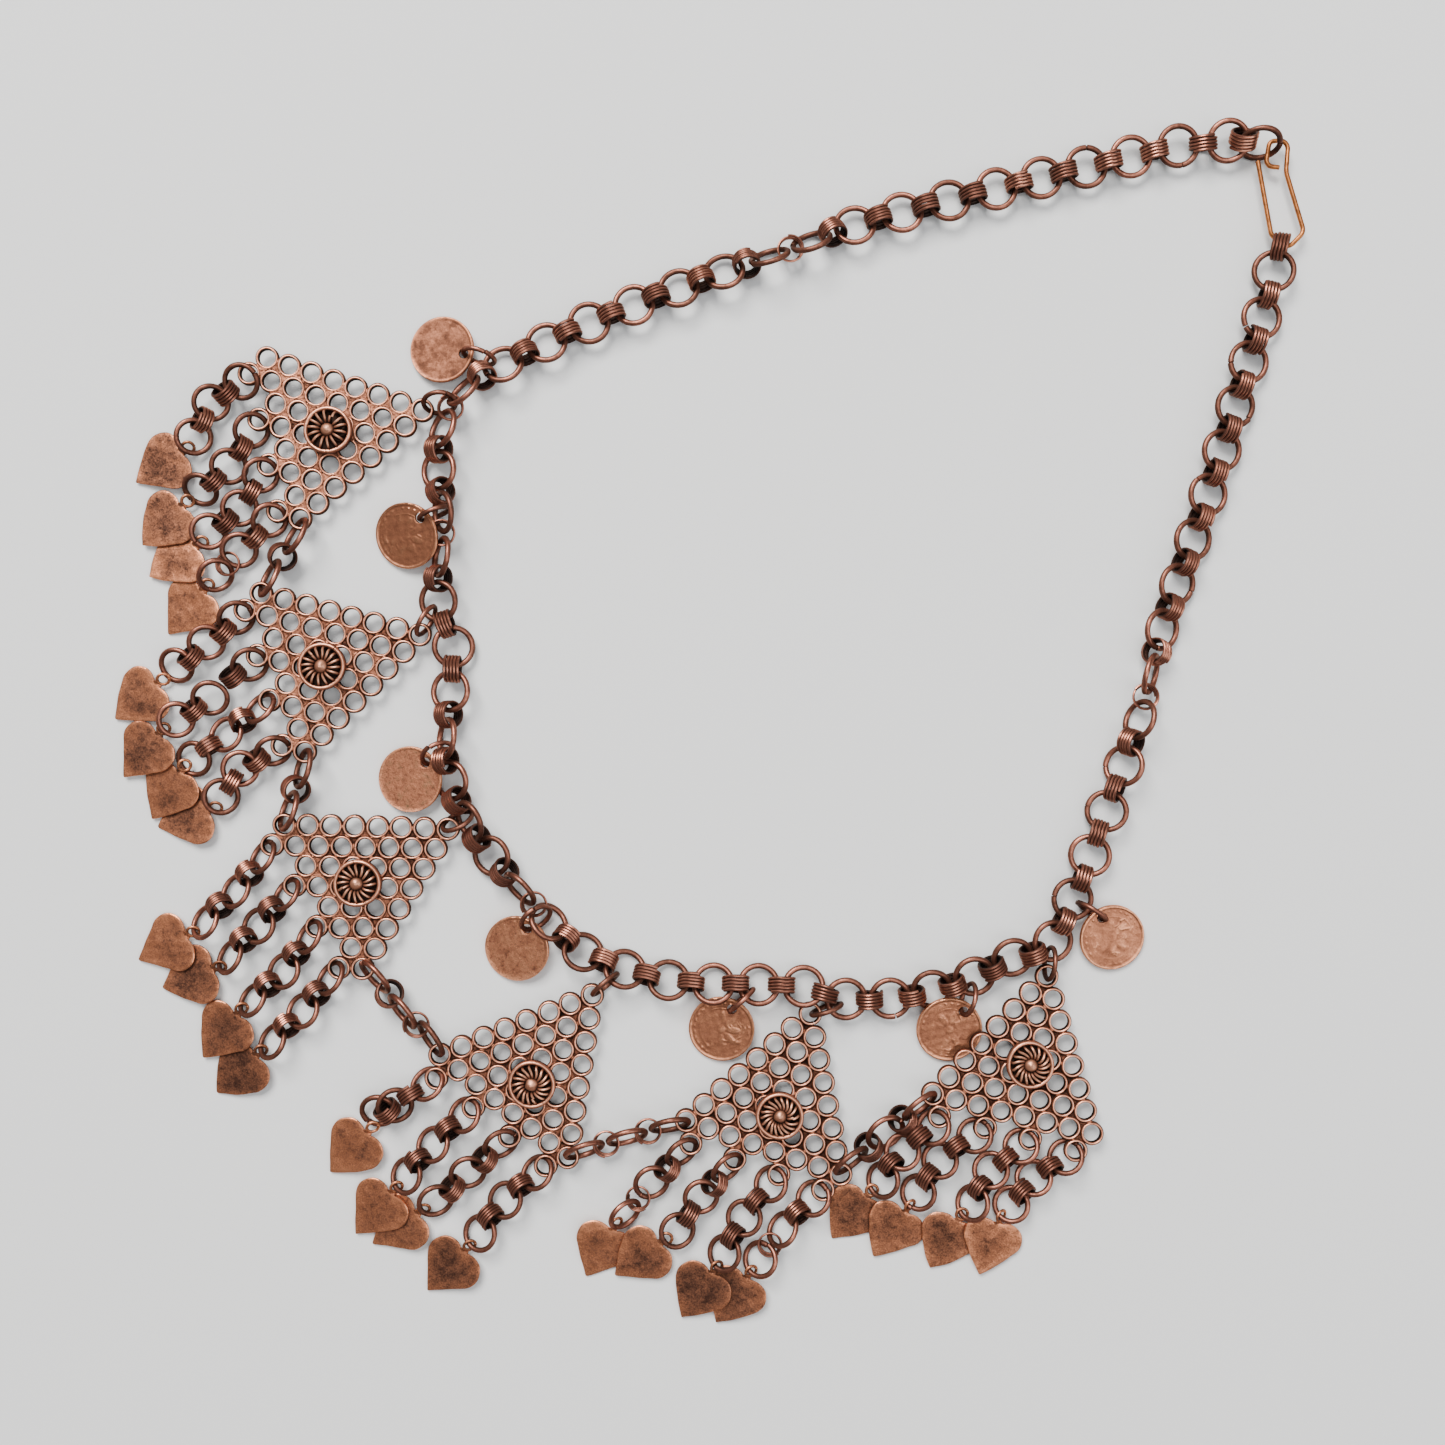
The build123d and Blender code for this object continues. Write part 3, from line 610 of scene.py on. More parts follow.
SOLDER_FINISH = CopperFinish(
    name="solder_copper",
    stops=((0.0, (0.006, 0.003, 0.002)), (0.28, (0.036, 0.013, 0.008)), (0.55, (0.19, 0.070, 0.040)),
           (0.8, (0.43, 0.168, 0.096)), (1.0, (0.74, 0.315, 0.185))),
    blotch=0.9, blotch_share=0.5, patch=0.8, patch_share=0.26, grain=0.26, grain_share=0.34, tone_share=0.16,
    rough=(0.38, 0.75), metallic=(0.2, 0.92), dent=0.20, dent_width=0.65, scratch=0.035, shine=0.2)
ROSETTE_FINISH = CopperFinish(
    name="rosette_wire_copper",
    stops=((0.0, (0.006, 0.003, 0.002)), (0.32, (0.050, 0.020, 0.013)), (0.60, (0.26, 0.106, 0.064)),
           (1.0, (0.80, 0.385, 0.240))),
    blotch=1.2, blotch_share=0.22, grain=0.2, grain_share=0.16, tone_share=0.12, rough=(0.40, 0.7),
    metallic=(0.2, 0.95), dent_width=0.5, scratch=0.012)
CUP_FINISH = CopperFinish(
    name="boss_cup_copper",
    stops=((0.0, (0.006, 0.003, 0.002)), (0.3, (0.034, 0.0125, 0.008)), (0.6, (0.21, 0.078, 0.046)),
           (1.0, (0.74, 0.315, 0.190))),
    blotch=2.2, blotch_share=0.26, patch=1.5, patch_share=0.10, grain=0.25, grain_share=0.14, tone_share=0.12,
    rough=(0.32, 0.68), metallic=(0.2, 0.95), dent=0.06, dent_width=0.9, scratch=0.012)
HEART_FINISH = CopperFinish(
    name="beaten_sheet_copper",
    stops=((0.0, (0.036, 0.0165, 0.012)), (0.26, (0.086, 0.038, 0.025)), (0.50, (0.205, 0.083, 0.047)),
           (0.76, (0.42, 0.158, 0.079)), (1.0, (0.78, 0.300, 0.150))),
    blotch=5.0, blotch_share=0.85, patch=2.4, patch_share=0.20, speck_share=0.18, grain=0.36,
    grain_share=0.85, tone_share=0.32, lift=0.17, rough=(0.38, 0.66), metallic=(0.72, 1.0), dent=0.10,
    dent_width=2.4, scratch=0.02, shine=0.12)
COIN_FINISH = CopperFinish(
    name="worn_coin_copper",
    stops=((0.0, (0.045, 0.017, 0.010)), (0.3, (0.150, 0.056, 0.031)), (0.55, (0.33, 0.128, 0.070)),
           (0.8, (0.51, 0.200, 0.106)), (1.0, (0.82, 0.345, 0.185))),
    blotch=5.0, blotch_share=0.8, patch=1.8, patch_share=0.15, speck=0.6, speck_share=0.14, grain=0.30,
    grain_share=0.5, tone_share=0.06, lift=0.34, rough=(0.34, 0.60), metallic=(0.7, 1.0), dent=0.05,
    dent_width=0.8, scratch=0.022, shine=0.15)
SPECKLED_FINISH = CopperFinish(
    name="speckled_coin_copper", stops=COIN_FINISH.stops, blotch=4.0, blotch_share=0.6, patch=2.4,
    patch_share=0.40, speck=0.75, speck_share=0.42, grain=0.28, grain_share=0.7, tone_share=0.1, lift=0.44,
    rough=(0.38, 0.64), metallic=(0.5, 0.95), dent=0.08, dent_width=0.8, scratch=0.035)
DULL_FINISH = CopperFinish(
    name="dull_coin_copper", stops=COIN_FINISH.stops, blotch=5.0, blotch_share=0.7, patch=3.0,
    patch_share=0.18, speck=0.6, speck_share=0.12, grain=0.3, grain_share=0.44, tone_share=0.1, lift=0.02,
    rough=(0.42, 0.62), metallic=(0.5, 0.9), dent=0.05, dent_width=0.9, scratch=0.022)
BLOOM_FINISH = CopperFinish(
    name="bloomed_coin_copper", stops=COIN_FINISH.stops, blotch=2.2, blotch_share=0.4, patch=1.0,
    patch_share=0.15, speck=0.6, speck_share=0.25, grain=0.28, grain_share=0.7, tone_share=0.1, lift=0.30,
    rough=(0.46, 0.68), metallic=(0.45, 0.9), dent=0.08, dent_width=0.8, scratch=0.035, bloom=0.3)
HOOK_FINISH = CopperFinish(
    name="hook_brass",
    stops=((0.0, (0.06, 0.022, 0.010)), (0.35, (0.22, 0.078, 0.028)), (0.65, (0.50, 0.180, 0.058)),
           (1.0, (0.86, 0.340, 0.115))),
    blotch_share=0.7, patch=1.6, patch_share=0.2, grain=0.3, grain_share=0.3, tone_share=0.0, lift=0.56,
    rough=(0.32, 0.5), metallic=(0.8, 1.0), dent=0.02, dent_width=0.8, scratch=0.01, shine=0.15)

_materials: dict[str, bpy.types.Material] = {}


def dress(piece: bpy.types.Object, finish: CopperFinish, node: str) -> bpy.types.Object:
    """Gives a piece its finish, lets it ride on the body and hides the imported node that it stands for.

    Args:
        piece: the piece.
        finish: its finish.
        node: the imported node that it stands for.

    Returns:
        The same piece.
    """
    if finish.name not in _materials:
        _materials[finish.name] = finish.material()
    piece.data.materials.clear()
    piece.data.materials.append(_materials[finish.name])
    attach(piece, "root")
    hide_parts(node)
    return piece


# A wire's cut end: length of its bevel against half the wire, how much it narrows, and its wear.
BEVEL = 0.16
BEVEL_NARROW = 0.78
CUT_WEAR = 0.7


def sweep(surface: Surface, path: np.ndarray, side: np.ndarray, half: np.ndarray | float, tone: float,
          rubbed: WearAndShade, sides: int, flat: float = 1.0,
          shade: np.ndarray | None = None) -> None:
    """Adds a wire with two cut ends along a path.

    Args:
        surface: where the wire goes.
        path: points of the middle line in the row frame.
        side: direction that points out of the link at each point.
        half: half of the wire's thickness, for all or for each point.
        tone: the link's own shade.
        rubbed: wear at the middle, share of painted highlight and shade by how far a face looks up, and share
            of wear and painted shade by how far it faces out of the link.
        sides: sides of the section.
        flat: thickness across the side direction against the thickness along it.
        shade: painted shade that the wear is multiplied by at each point of the path.
    """
    mark = surface.mark()
    ahead = np.gradient(path, axis=0)
    ahead /= np.linalg.norm(ahead, axis=1)[:, None]
    side = side - ahead * (side * ahead).sum(1)[:, None]
    side /= np.linalg.norm(side, axis=1)[:, None]
    other = np.cross(ahead, side)
    half = np.broadcast_to(half, len(path)).astype(float)
    bevel = BEVEL * half[0]
    path = np.vstack([path[0] - ahead[0] * bevel, path, path[-1] + ahead[-1] * bevel])
    side = np.vstack([side[:1], side, side[-1:]])
    other = np.vstack([other[:1], other, other[-1:]])
    half = np.concatenate([[half[0] * BEVEL_NARROW], half, [half[-1] * BEVEL_NARROW]])
    turn = angles(sides)
    facing = np.cos(turn)[None, :, None] * side[:, None] + flat * np.sin(turn)[None, :, None] * other[:, None]
    points = path[:, None] + facing * half[:, None, None]
    # Painted light: faces that look up are lighter and faces that look down darker, and the side that faces
    # into the link is darker as painted shade, while its outer side is also rubbed.
    base, painted_top_light, outward_wear_and_shade = rubbed
    wear = base + painted_top_light * facing[..., 2] + outward_wear_and_shade * np.cos(turn)[None]
    if shade is not None:
        wear = wear * np.concatenate([shade[:1], shade, shade[-1:]])[:, None]
    numbers = surface.grid(points, tone, wear)
    surface.fan(numbers[0], path[0], tone, base * CUT_WEAR, flip=True)
    surface.fan(numbers[-1], path[-1], tone, base * CUT_WEAR)
    surface.turn_out(mark)


@dataclass
class Link:
    """One link of a chain, with the direction along the chain as a rough X."""

    kind: LinkKind
    pose: Pose
    size: LinkSize


@dataclass
class LinkMaker:
    """Winds and bends the wire of the links.

    Attributes:
        coil_wound: turns of a coil as wound.
        thin_wound: turns of a thin ring, which is wound too.
        thin_wire: thickness of its wire against the thickness of the ring.
        thin_flare: how much wider each of its turns is than the one before, in millimetres.
        ring_gap: narrowest and widest saw cut, in millimetres.
        ring_oval: least and most that a ring is out of round, as a share.
        ring_twist: how far a ring's ends stand off sideways and outwards, in millimetres.
        ring_swell: how much its wire swells and thins, as a share.
        coil_wave: how far a coil's turns wander along it and outwards, in millimetres.
        coil_fill: half of a coil's wire against its nominal thickness, so that its turns touch.
        ring_wear_and_shade: wear at the middle, the painted highlight and shade by how far a face looks up,
            and the wear and painted shade by how far it faces out.
        coil_wear_and_shade: the same for coils, darker between the turns and inside them as painted shade.
        thin_wear_and_shade: the same for thin rings.
        cuts: picture points where the saw cut of a ring shows.
        reach: how far from its wire a cut is still a ring's own, in millimetres.
    """

    ring_steps: int = 48
    ring_sides: int = 12
    coil_steps: int = 26
    coil_sides: int = 8
    coil_wound: float = 4.3
    thin_wound: float = 2.4
    thin_wire: float = 0.68
    thin_flare: float = 0.17
    ring_gap: Pair = (0.12, 0.4)
    ring_oval: Pair = (0.002, 0.012)
    ring_twist: Pair = (0.09, 0.05)
    ring_swell: float = 0.02
    coil_wave: Pair = (0.025, 0.03)
    coil_fill: float = 0.52
    ring_wear_and_shade: WearAndShade = (0.30, 0.42, 0.06)
    coil_wear_and_shade: WearAndShade = (0.20, 0.24, 0.40)
    thin_wear_and_shade: WearAndShade = (0.42, 0.34, 0.2)
    cuts: tuple[Pair, ...] = (
        (1183, 165), (1086, 150), (900, 212), (855, 225), (1244, 327), (1231, 363), (1250, 418),
        (1197, 482), (1194, 591), (1107, 765), (1088, 806), (1049, 895), (895, 1014), (677, 969))
    reach: float = 1.5
    rng: np.random.Generator = field(default_factory=lambda: np.random.default_rng(41))

    def cut_angle(self, link: Link) -> float:
        """Where the saw cut of a ring is, as an angle from local X.

        Args:
            link: the ring.

        Returns:
            The angle that points at a cut which the picture shows, or one under the next coil.
        """
        best, angle = self.reach, None
        for x, y in self.cuts:
            away = VIEW.spot(x, y, float(link.pose.origin[2])) - link.pose.origin
            local = link.pose.axes @ away
            gap = abs(hypot(local[0], local[1]) - link.size.middle)
            if gap < best:
                best, angle = gap, atan2(local[1], local[0])
        if angle is None:
            angle = self.rng.choice([0.0, pi]) + self.rng.normal(0, 0.16)
        return float(angle)

    def ring(self, surface: Surface, link: Link) -> None:
        """Adds a ring of wire with a sawn gap.

        Args:
            surface: where the ring goes.
            link: the ring.
        """
        size = link.size
        gap = self.rng.uniform(*self.ring_gap) / size.middle
        start = self.cut_angle(link)
        share = np.linspace(0, 1, self.ring_steps + 1)
        angle = start + gap / 2 + share * (2 * pi - gap)
        oval, oval_at = self.rng.uniform(*self.ring_oval), self.rng.uniform(0, pi)
        radius = size.middle * (1 + oval * np.cos(2 * (angle - oval_at)))
        lean = self.rng.normal(0, self.ring_twist[0]) * (2 * share - 1) ** 3
        spread = self.rng.normal(0, self.ring_twist[1]) * (2 * share - 1) ** 5
        radius = radius + spread
        local = around(radius, angle, lean)
        out = around(1.0, angle)
        swell = 1 + self.ring_swell * np.sin(3 * angle + self.rng.uniform(0, 6))
        sweep(surface, link.pose.out(local), out @ link.pose.axes, size.wire / 2 * swell,
              self.rng.uniform(), self.ring_wear_and_shade, self.ring_sides)

    def coil(self, surface: Surface, link: Link, turns: float, flare: float = 0.0) -> None:
        """Adds a coil of thin wire wound side by side.

        Args:
            surface: where the coil goes.
            link: the coil, with its axis as local Z.
            turns: how many turns it has.
            flare: how much wider each turn is than the one before, in millimetres.
        """
        size = link.size
        axis = link.pose.axes[2]
        top = UP - axis * (UP @ axis)
        top = unit_vector(top) if np.linalg.norm(top) > 0.2 else link.pose.axes[0]
        top_at = atan2(top @ link.pose.axes[1], top @ link.pose.axes[0])
        count = int(turns * self.coil_steps)
        spread = np.linspace(-turns * pi, turns * pi, count)
        angle = top_at + self.rng.normal(0, 0.25) + spread
        pitch = size.pitch * self.rng.uniform(0.985, 1.01)
        rise = pitch * spread / (2 * pi)
        rise = rise + self.coil_wave[0] * np.sin(spread * 0.9 + self.rng.uniform(0, 6))
        radius = size.middle + self.coil_wave[1] * np.sin(spread * 0.63 + self.rng.uniform(0, 6))
        radius = radius + flare * (spread / (2 * pi) - turns / 2)
        radius = radius + 0.05 * np.clip(np.abs(spread) / pi - turns + 0.25, 0, 1) * self.rng.uniform(0, 2)
        local = around(radius, angle, rise)
        out = around(1.0, angle)
        rubbed = self.thin_wear_and_shade if flare else self.coil_wear_and_shade
        sweep(surface, link.pose.out(local), out @ link.pose.axes, size.wire * self.coil_fill,
              self.rng.uniform(), rubbed, self.coil_sides)

    def add(self, surface: Surface, link: Link) -> None:
        """Adds a link of any kind.

        Args:
            surface: where the link goes.
            link: the link.
        """
        if link.kind is LinkKind.COIL:
            self.coil(surface, link, self.coil_wound + self.rng.uniform(-0.1, 0.2))
        elif link.kind is LinkKind.THIN:
            fine = LinkSize(link.size.outside, link.size.wire * self.thin_wire)
            self.coil(surface, Link(LinkKind.COIL, link.pose, fine), self.thin_wound, self.thin_flare)
        else:
            self.ring(surface, link)

    def pieces(self, node: str, links: list[Link]) -> list[bpy.types.Object]:
        """Makes a node's rings and its coils as two pieces.

        Args:
            node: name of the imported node.
            links: its links.

        Returns:
            The pieces, which stand for the node.
        """
        rings, coils = Surface(), Surface()
        for link in links:
            self.add(coils if link.kind is LinkKind.COIL else rings, link)
        made = ((rings, "rings", RING_FINISH), (coils, "coils", COIL_FINISH))
        return [dress(surface.build(f"{node}_{name}"), finish, node)
                for surface, name, finish in made if surface.points]


class SolidReader:
    """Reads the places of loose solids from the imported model's nodes."""

    @staticmethod
    def points(node: str) -> tuple[np.ndarray, np.ndarray]:
        """The node's points in millimetres and its triangles, with doubled points joined.

        Args:
            node: name of the node.

        Returns:
            The points and the triangles' corner numbers.
        """
        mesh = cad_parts[node].data
        places = np.empty(len(mesh.vertices) * 3, dtype=np.float32)
        mesh.vertices.foreach_get("co", places)
        places = places.reshape(-1, 3).astype(float) / MM
        corners = np.empty(len(mesh.loops), dtype=np.int32)
        mesh.loops.foreach_get("vertex_index", corners)
        keys = np.round(places * 2000).astype(np.int64)
        code = (keys[:, 0] + 2**20) * 2**42 + (keys[:, 1] + 2**20) * 2**21 + keys[:, 2] + 2**20
        _, first, joined = np.unique(code, return_index=True, return_inverse=True)
        return places[first], joined.reshape(-1)[corners].reshape(-1, 3)

    @classmethod
    def solids(cls, node: str) -> list[np.ndarray]:
        """The points of each loose solid of a node.

        Args:
            node: name of the node.

        Returns:
            One array of points for each solid, in the order of their first points in the mesh.
        """
        points, triangles = cls.points(node)
        labels = np.arange(len(points))
        while True:
            lowest = labels[triangles].min(1)
            before = labels.copy()
            for corner in range(3):
                np.minimum.at(labels, triangles[:, corner], lowest)
            labels = labels[labels]
            if (labels == before).all():
                break
        order = np.argsort(labels, kind="stable")
        bounds = np.flatnonzero(np.diff(labels[order])) + 1
        return [points[part] for part in np.split(order, bounds)]

    @staticmethod
    def axes(points: np.ndarray) -> tuple[np.ndarray, np.ndarray]:
        """Finds how some points lie.

        Args:
            points: the points.

        Returns:
            Their middle and their main directions, the shortest last and facing up.
        """
        middle = points.mean(0)
        _, _, directions = np.linalg.svd(np.cov((points - middle).T))
        if directions[2][2] < 0:
            directions[2] = -directions[2]
        return middle, directions

    @classmethod
    def link(cls, points: np.ndarray) -> Link:
        """Reads a link's kind and place off its solid.

        Args:
            points: points of the solid.

        Returns:
            The link, with its normal or its coil's axis as local Z.
        """
        middle, directions = cls.axes(points)
        normal = directions[2]
        away = points - middle
        rise = away @ normal
        thickness = rise.max() - rise.min()
        outside = 2 * np.linalg.norm(away - np.outer(rise, normal), axis=1).max()
        kind = min(SOLID_WIDTHS, key=lambda k: abs(SIZES[k].outside - outside)
                   + abs(SOLID_WIDTHS[k] - thickness))
        return Link(kind, Pose.facing(middle, normal, directions[0]), SIZES[kind])

    @classmethod
    def chain(cls, node: str) -> list[Link]:
        """All links of a node, each turned so that its X runs along the chain.

        Args:
            node: name of the chain's node.

        Returns:
            The links.
        """
        links = [cls.link(points) for points in cls.solids(node)]
        centres = np.array([link.pose.origin for link in links])
        for index, link in enumerate(links):
            away = centres - link.pose.origin
            gaps = np.linalg.norm(away, axis=1)
            gaps[index] = 1e6
            along = away[int(gaps.argmin())] if len(links) > 1 else link.pose.axes[0]
            if abs(unit_vector(along) @ link.pose.axes[2]) < 0.95:
                link.pose = Pose.facing(link.pose.origin, link.pose.axes[2], along)
        return links


@dataclass
class Chain:
    """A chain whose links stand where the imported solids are.

    Attributes:
        node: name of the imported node.
        maker: who makes the links.
    """

    node: str
    maker: LinkMaker
    links: list[Link] = field(default_factory=list)

    def build(self) -> list[bpy.types.Object]:
        """Makes the rings and the coils as two pieces that stand for the node."""
        self.links = SolidReader.chain(self.node)
        return self.maker.pieces(self.node, self.links)


class Loose:
    """A piece that may shift while the drop chains settle, as circles of wire or as points."""

    STEPS = 48

    def __init__(self, pose: Pose, circles: list[Pair], half: float, held: bool,
                 extra: np.ndarray | None = None) -> None:
        """Lays out the piece's points.

        Args:
            pose: where it is.
            circles: radius and height of each circle of its wire, in its own frame.
            half: half of the wire's thickness.
            held: whether it stays where it is.
            extra: further points inside the metal, in its own frame.
        """
        self.pose, self.circles, self.half, self.held = pose, circles, half, held
        turn = angles(self.STEPS)
        rows = [around(radius, turn, height) for radius, height in circles]
        if extra is not None:
            rows.append(extra)
        self.local = np.vstack(rows)
        self.spread = sqrt(float((np.linalg.norm(self.local, axis=1) ** 2).mean()))
        self.far = float(np.linalg.norm(self.local, axis=1).max()) + half
        self.single = len(circles) == 1 and extra is None
        self.shown = self.pose.out(self.local)

    def give(self, at: np.ndarray, way: np.ndarray) -> float:
        """How easily a push moves the point that it acts on.

        Args:
            at: the point.
            way: direction of the push.

        Returns:
            The share of the push that the piece takes, 0 if it is held.
        """
        if self.held:
            return 0.0
        return 1 + float((np.cross(at - self.pose.origin, way) ** 2).sum()) / self.spread**2

    def push(self, at: np.ndarray, way: np.ndarray, amount: float) -> None:
        """Shifts and turns the piece by a push at a point.

        Args:
            at: the point.
            way: direction of the push.
            amount: how far, in millimetres.
        """
        if self.held:
            return
        turn = np.cross(at - self.pose.origin, way) * amount / self.spread**2
        self.pose.origin = self.pose.origin + way * amount
        angle = float(np.linalg.norm(turn))
        if angle > 1e-9:
            about, axes = turn / angle, self.pose.axes
            self.pose.axes = (axes * cos(angle) + np.cross(about, axes) * sin(angle)
                              + np.outer(axes @ about, about) * (1 - cos(angle)))
        self.shown = self.pose.out(self.local)


@dataclass
class Settler:
    """Parts pieces that are too close, a little at a time.

    Attributes:
        play: gap kept between any two pieces, in millimetres.
        watch: how far apart two pieces may be and still be watched.
        rounds: the most rounds.
    """

    play: float = 0.05
    watch: float = 1.0
    rounds: int = 90

    @staticmethod
    def nearest(a: Loose, b: Loose) -> tuple[float, np.ndarray, np.ndarray]:
        """Gap between two pieces.

        Args:
            a: one piece.
            b: the other piece.

        Returns:
            The gap and the nearest point of each.
        """
        if a.single and not b.single:
            gap, at_b, at_a = Settler.nearest(b, a)
            return gap, at_a, at_b
        if b.single:
            radius, _ = b.circles[0]
            away = a.shown - b.pose.origin
            flat = away - np.outer(away @ b.pose.axes[2], b.pose.axes[2])
            on_b = b.pose.origin + flat * (radius / np.maximum(np.linalg.norm(flat, axis=1), 1e-6))[:, None]
            gaps = np.linalg.norm(a.shown - on_b, axis=1)
            least = int(gaps.argmin())
            return float(gaps[least]) - a.half - b.half, a.shown[least], on_b[least]
        margin = a.half + b.half + 1.0
        near_a = a.shown[((a.shown > b.shown.min(0) - margin) & (a.shown < b.shown.max(0) + margin)).all(1)]
        near_b = b.shown[((b.shown > a.shown.min(0) - margin) & (b.shown < a.shown.max(0) + margin)).all(1)]
        if not len(near_a) or not len(near_b):
            return 9.0, a.shown[0], b.shown[0]
        gaps = np.linalg.norm(near_a[:, None] - near_b[None], axis=2)
        i, k = np.unravel_index(int(gaps.argmin()), gaps.shape)
        return float(gaps[i, k]) - a.half - b.half, near_a[i], near_b[k]

    def run(self, pieces: list[Loose]) -> tuple[int, float]:
        """Settles the pieces over the surface at Z = 0.

        Args:
            pieces: all pieces, those that are held among them.

        Returns:
            The rounds that it took and the worst overlap that is left.
        """
        pairs: list[tuple[Loose, Loose]] = []
        worst = 0.0
        for step in range(self.rounds):
            if step % 12 == 0:
                centres = np.array([piece.pose.origin for piece in pieces])
                fars = np.array([piece.far for piece in pieces])
                pairs = []
                for i, piece in enumerate(pieces):
                    away = np.linalg.norm(centres[i + 1:] - centres[i], axis=1)
                    for k in np.flatnonzero(away < fars[i + 1:] + fars[i] + self.watch) + i + 1:
                        if not (piece.held and pieces[k].held):
                            if self.nearest(piece, pieces[k])[0] < self.watch:
                                pairs.append((piece, pieces[k]))
            worst = 0.0
            for a, b in pairs:
                gap, at_a, at_b = self.nearest(a, b)
                if gap >= self.play:
                    continue
                worst = max(worst, self.play - gap)
                way = unit_vector(at_a - at_b)
                amount = (self.play - gap) / (a.give(at_a, way) + b.give(at_b, way))
                a.push(at_a, way, amount)
                b.push(at_b, -way, amount)
            for piece in pieces:
                if piece.held:
                    continue
                low = int(piece.shown[:, 2].argmin())
                depth = piece.half - piece.shown[low, 2]
                if depth > 0:
                    at = piece.shown[low]
                    piece.push(at, UP, depth / piece.give(at, UP))
                    worst = max(worst, depth)
            if worst < self.play * 0.25:
                break
        return step + 1, worst


@dataclass
class PlatePlace:
    """Place of a triangular plate.

    Attributes:
        x: picture units to the right.
        y: picture units down.
        heading: direction of the apex in degrees from +X.
        boss: place of the boss along the apex and across it, in picture units.
        flood: how full of solder the gaps are, at the hanging side and at the apex.
        loops: turns of the rosette's wire.
        swirl: how far each turn slants, in radians.
    """

    x: float
    y: float
    heading: float
    boss: Pair
    flood: Pair
    loops: int
    swirl: float


PLATES = (
    PlatePlace(330.9, 429.7, 11.6, (-0.5, -2.5), (0.95, 0.95), 14, 0.10),
    PlatePlace(329.8, 660.1, 15.4, (-6.7, -4.9), (0.95, 0.55), 16, 0.14),
    PlatePlace(365.8, 873.5, 28.6, (-9.0, -4.8), (0.8, 0.45), 16, 0.18),
    PlatePlace(533.8, 1068.1, 51.4, (-10.8, -7.8), (0.7, 0.35), 17, 0.24),
    PlatePlace(778.9, 1101.8, 70.7, (-10.2, -4.0), (0.5, 0.25), 18, 0.28),
    PlatePlace(1023.0, 1066.9, 76.0, (5.8, -3.4), (0.45, 0.25), 17, 0.30),
)


# Where the joint of a boss's ring shows, in degrees, by the number of its plate.
BOSS_JOINTS = {1: -105, 2: 38, 3: 70}


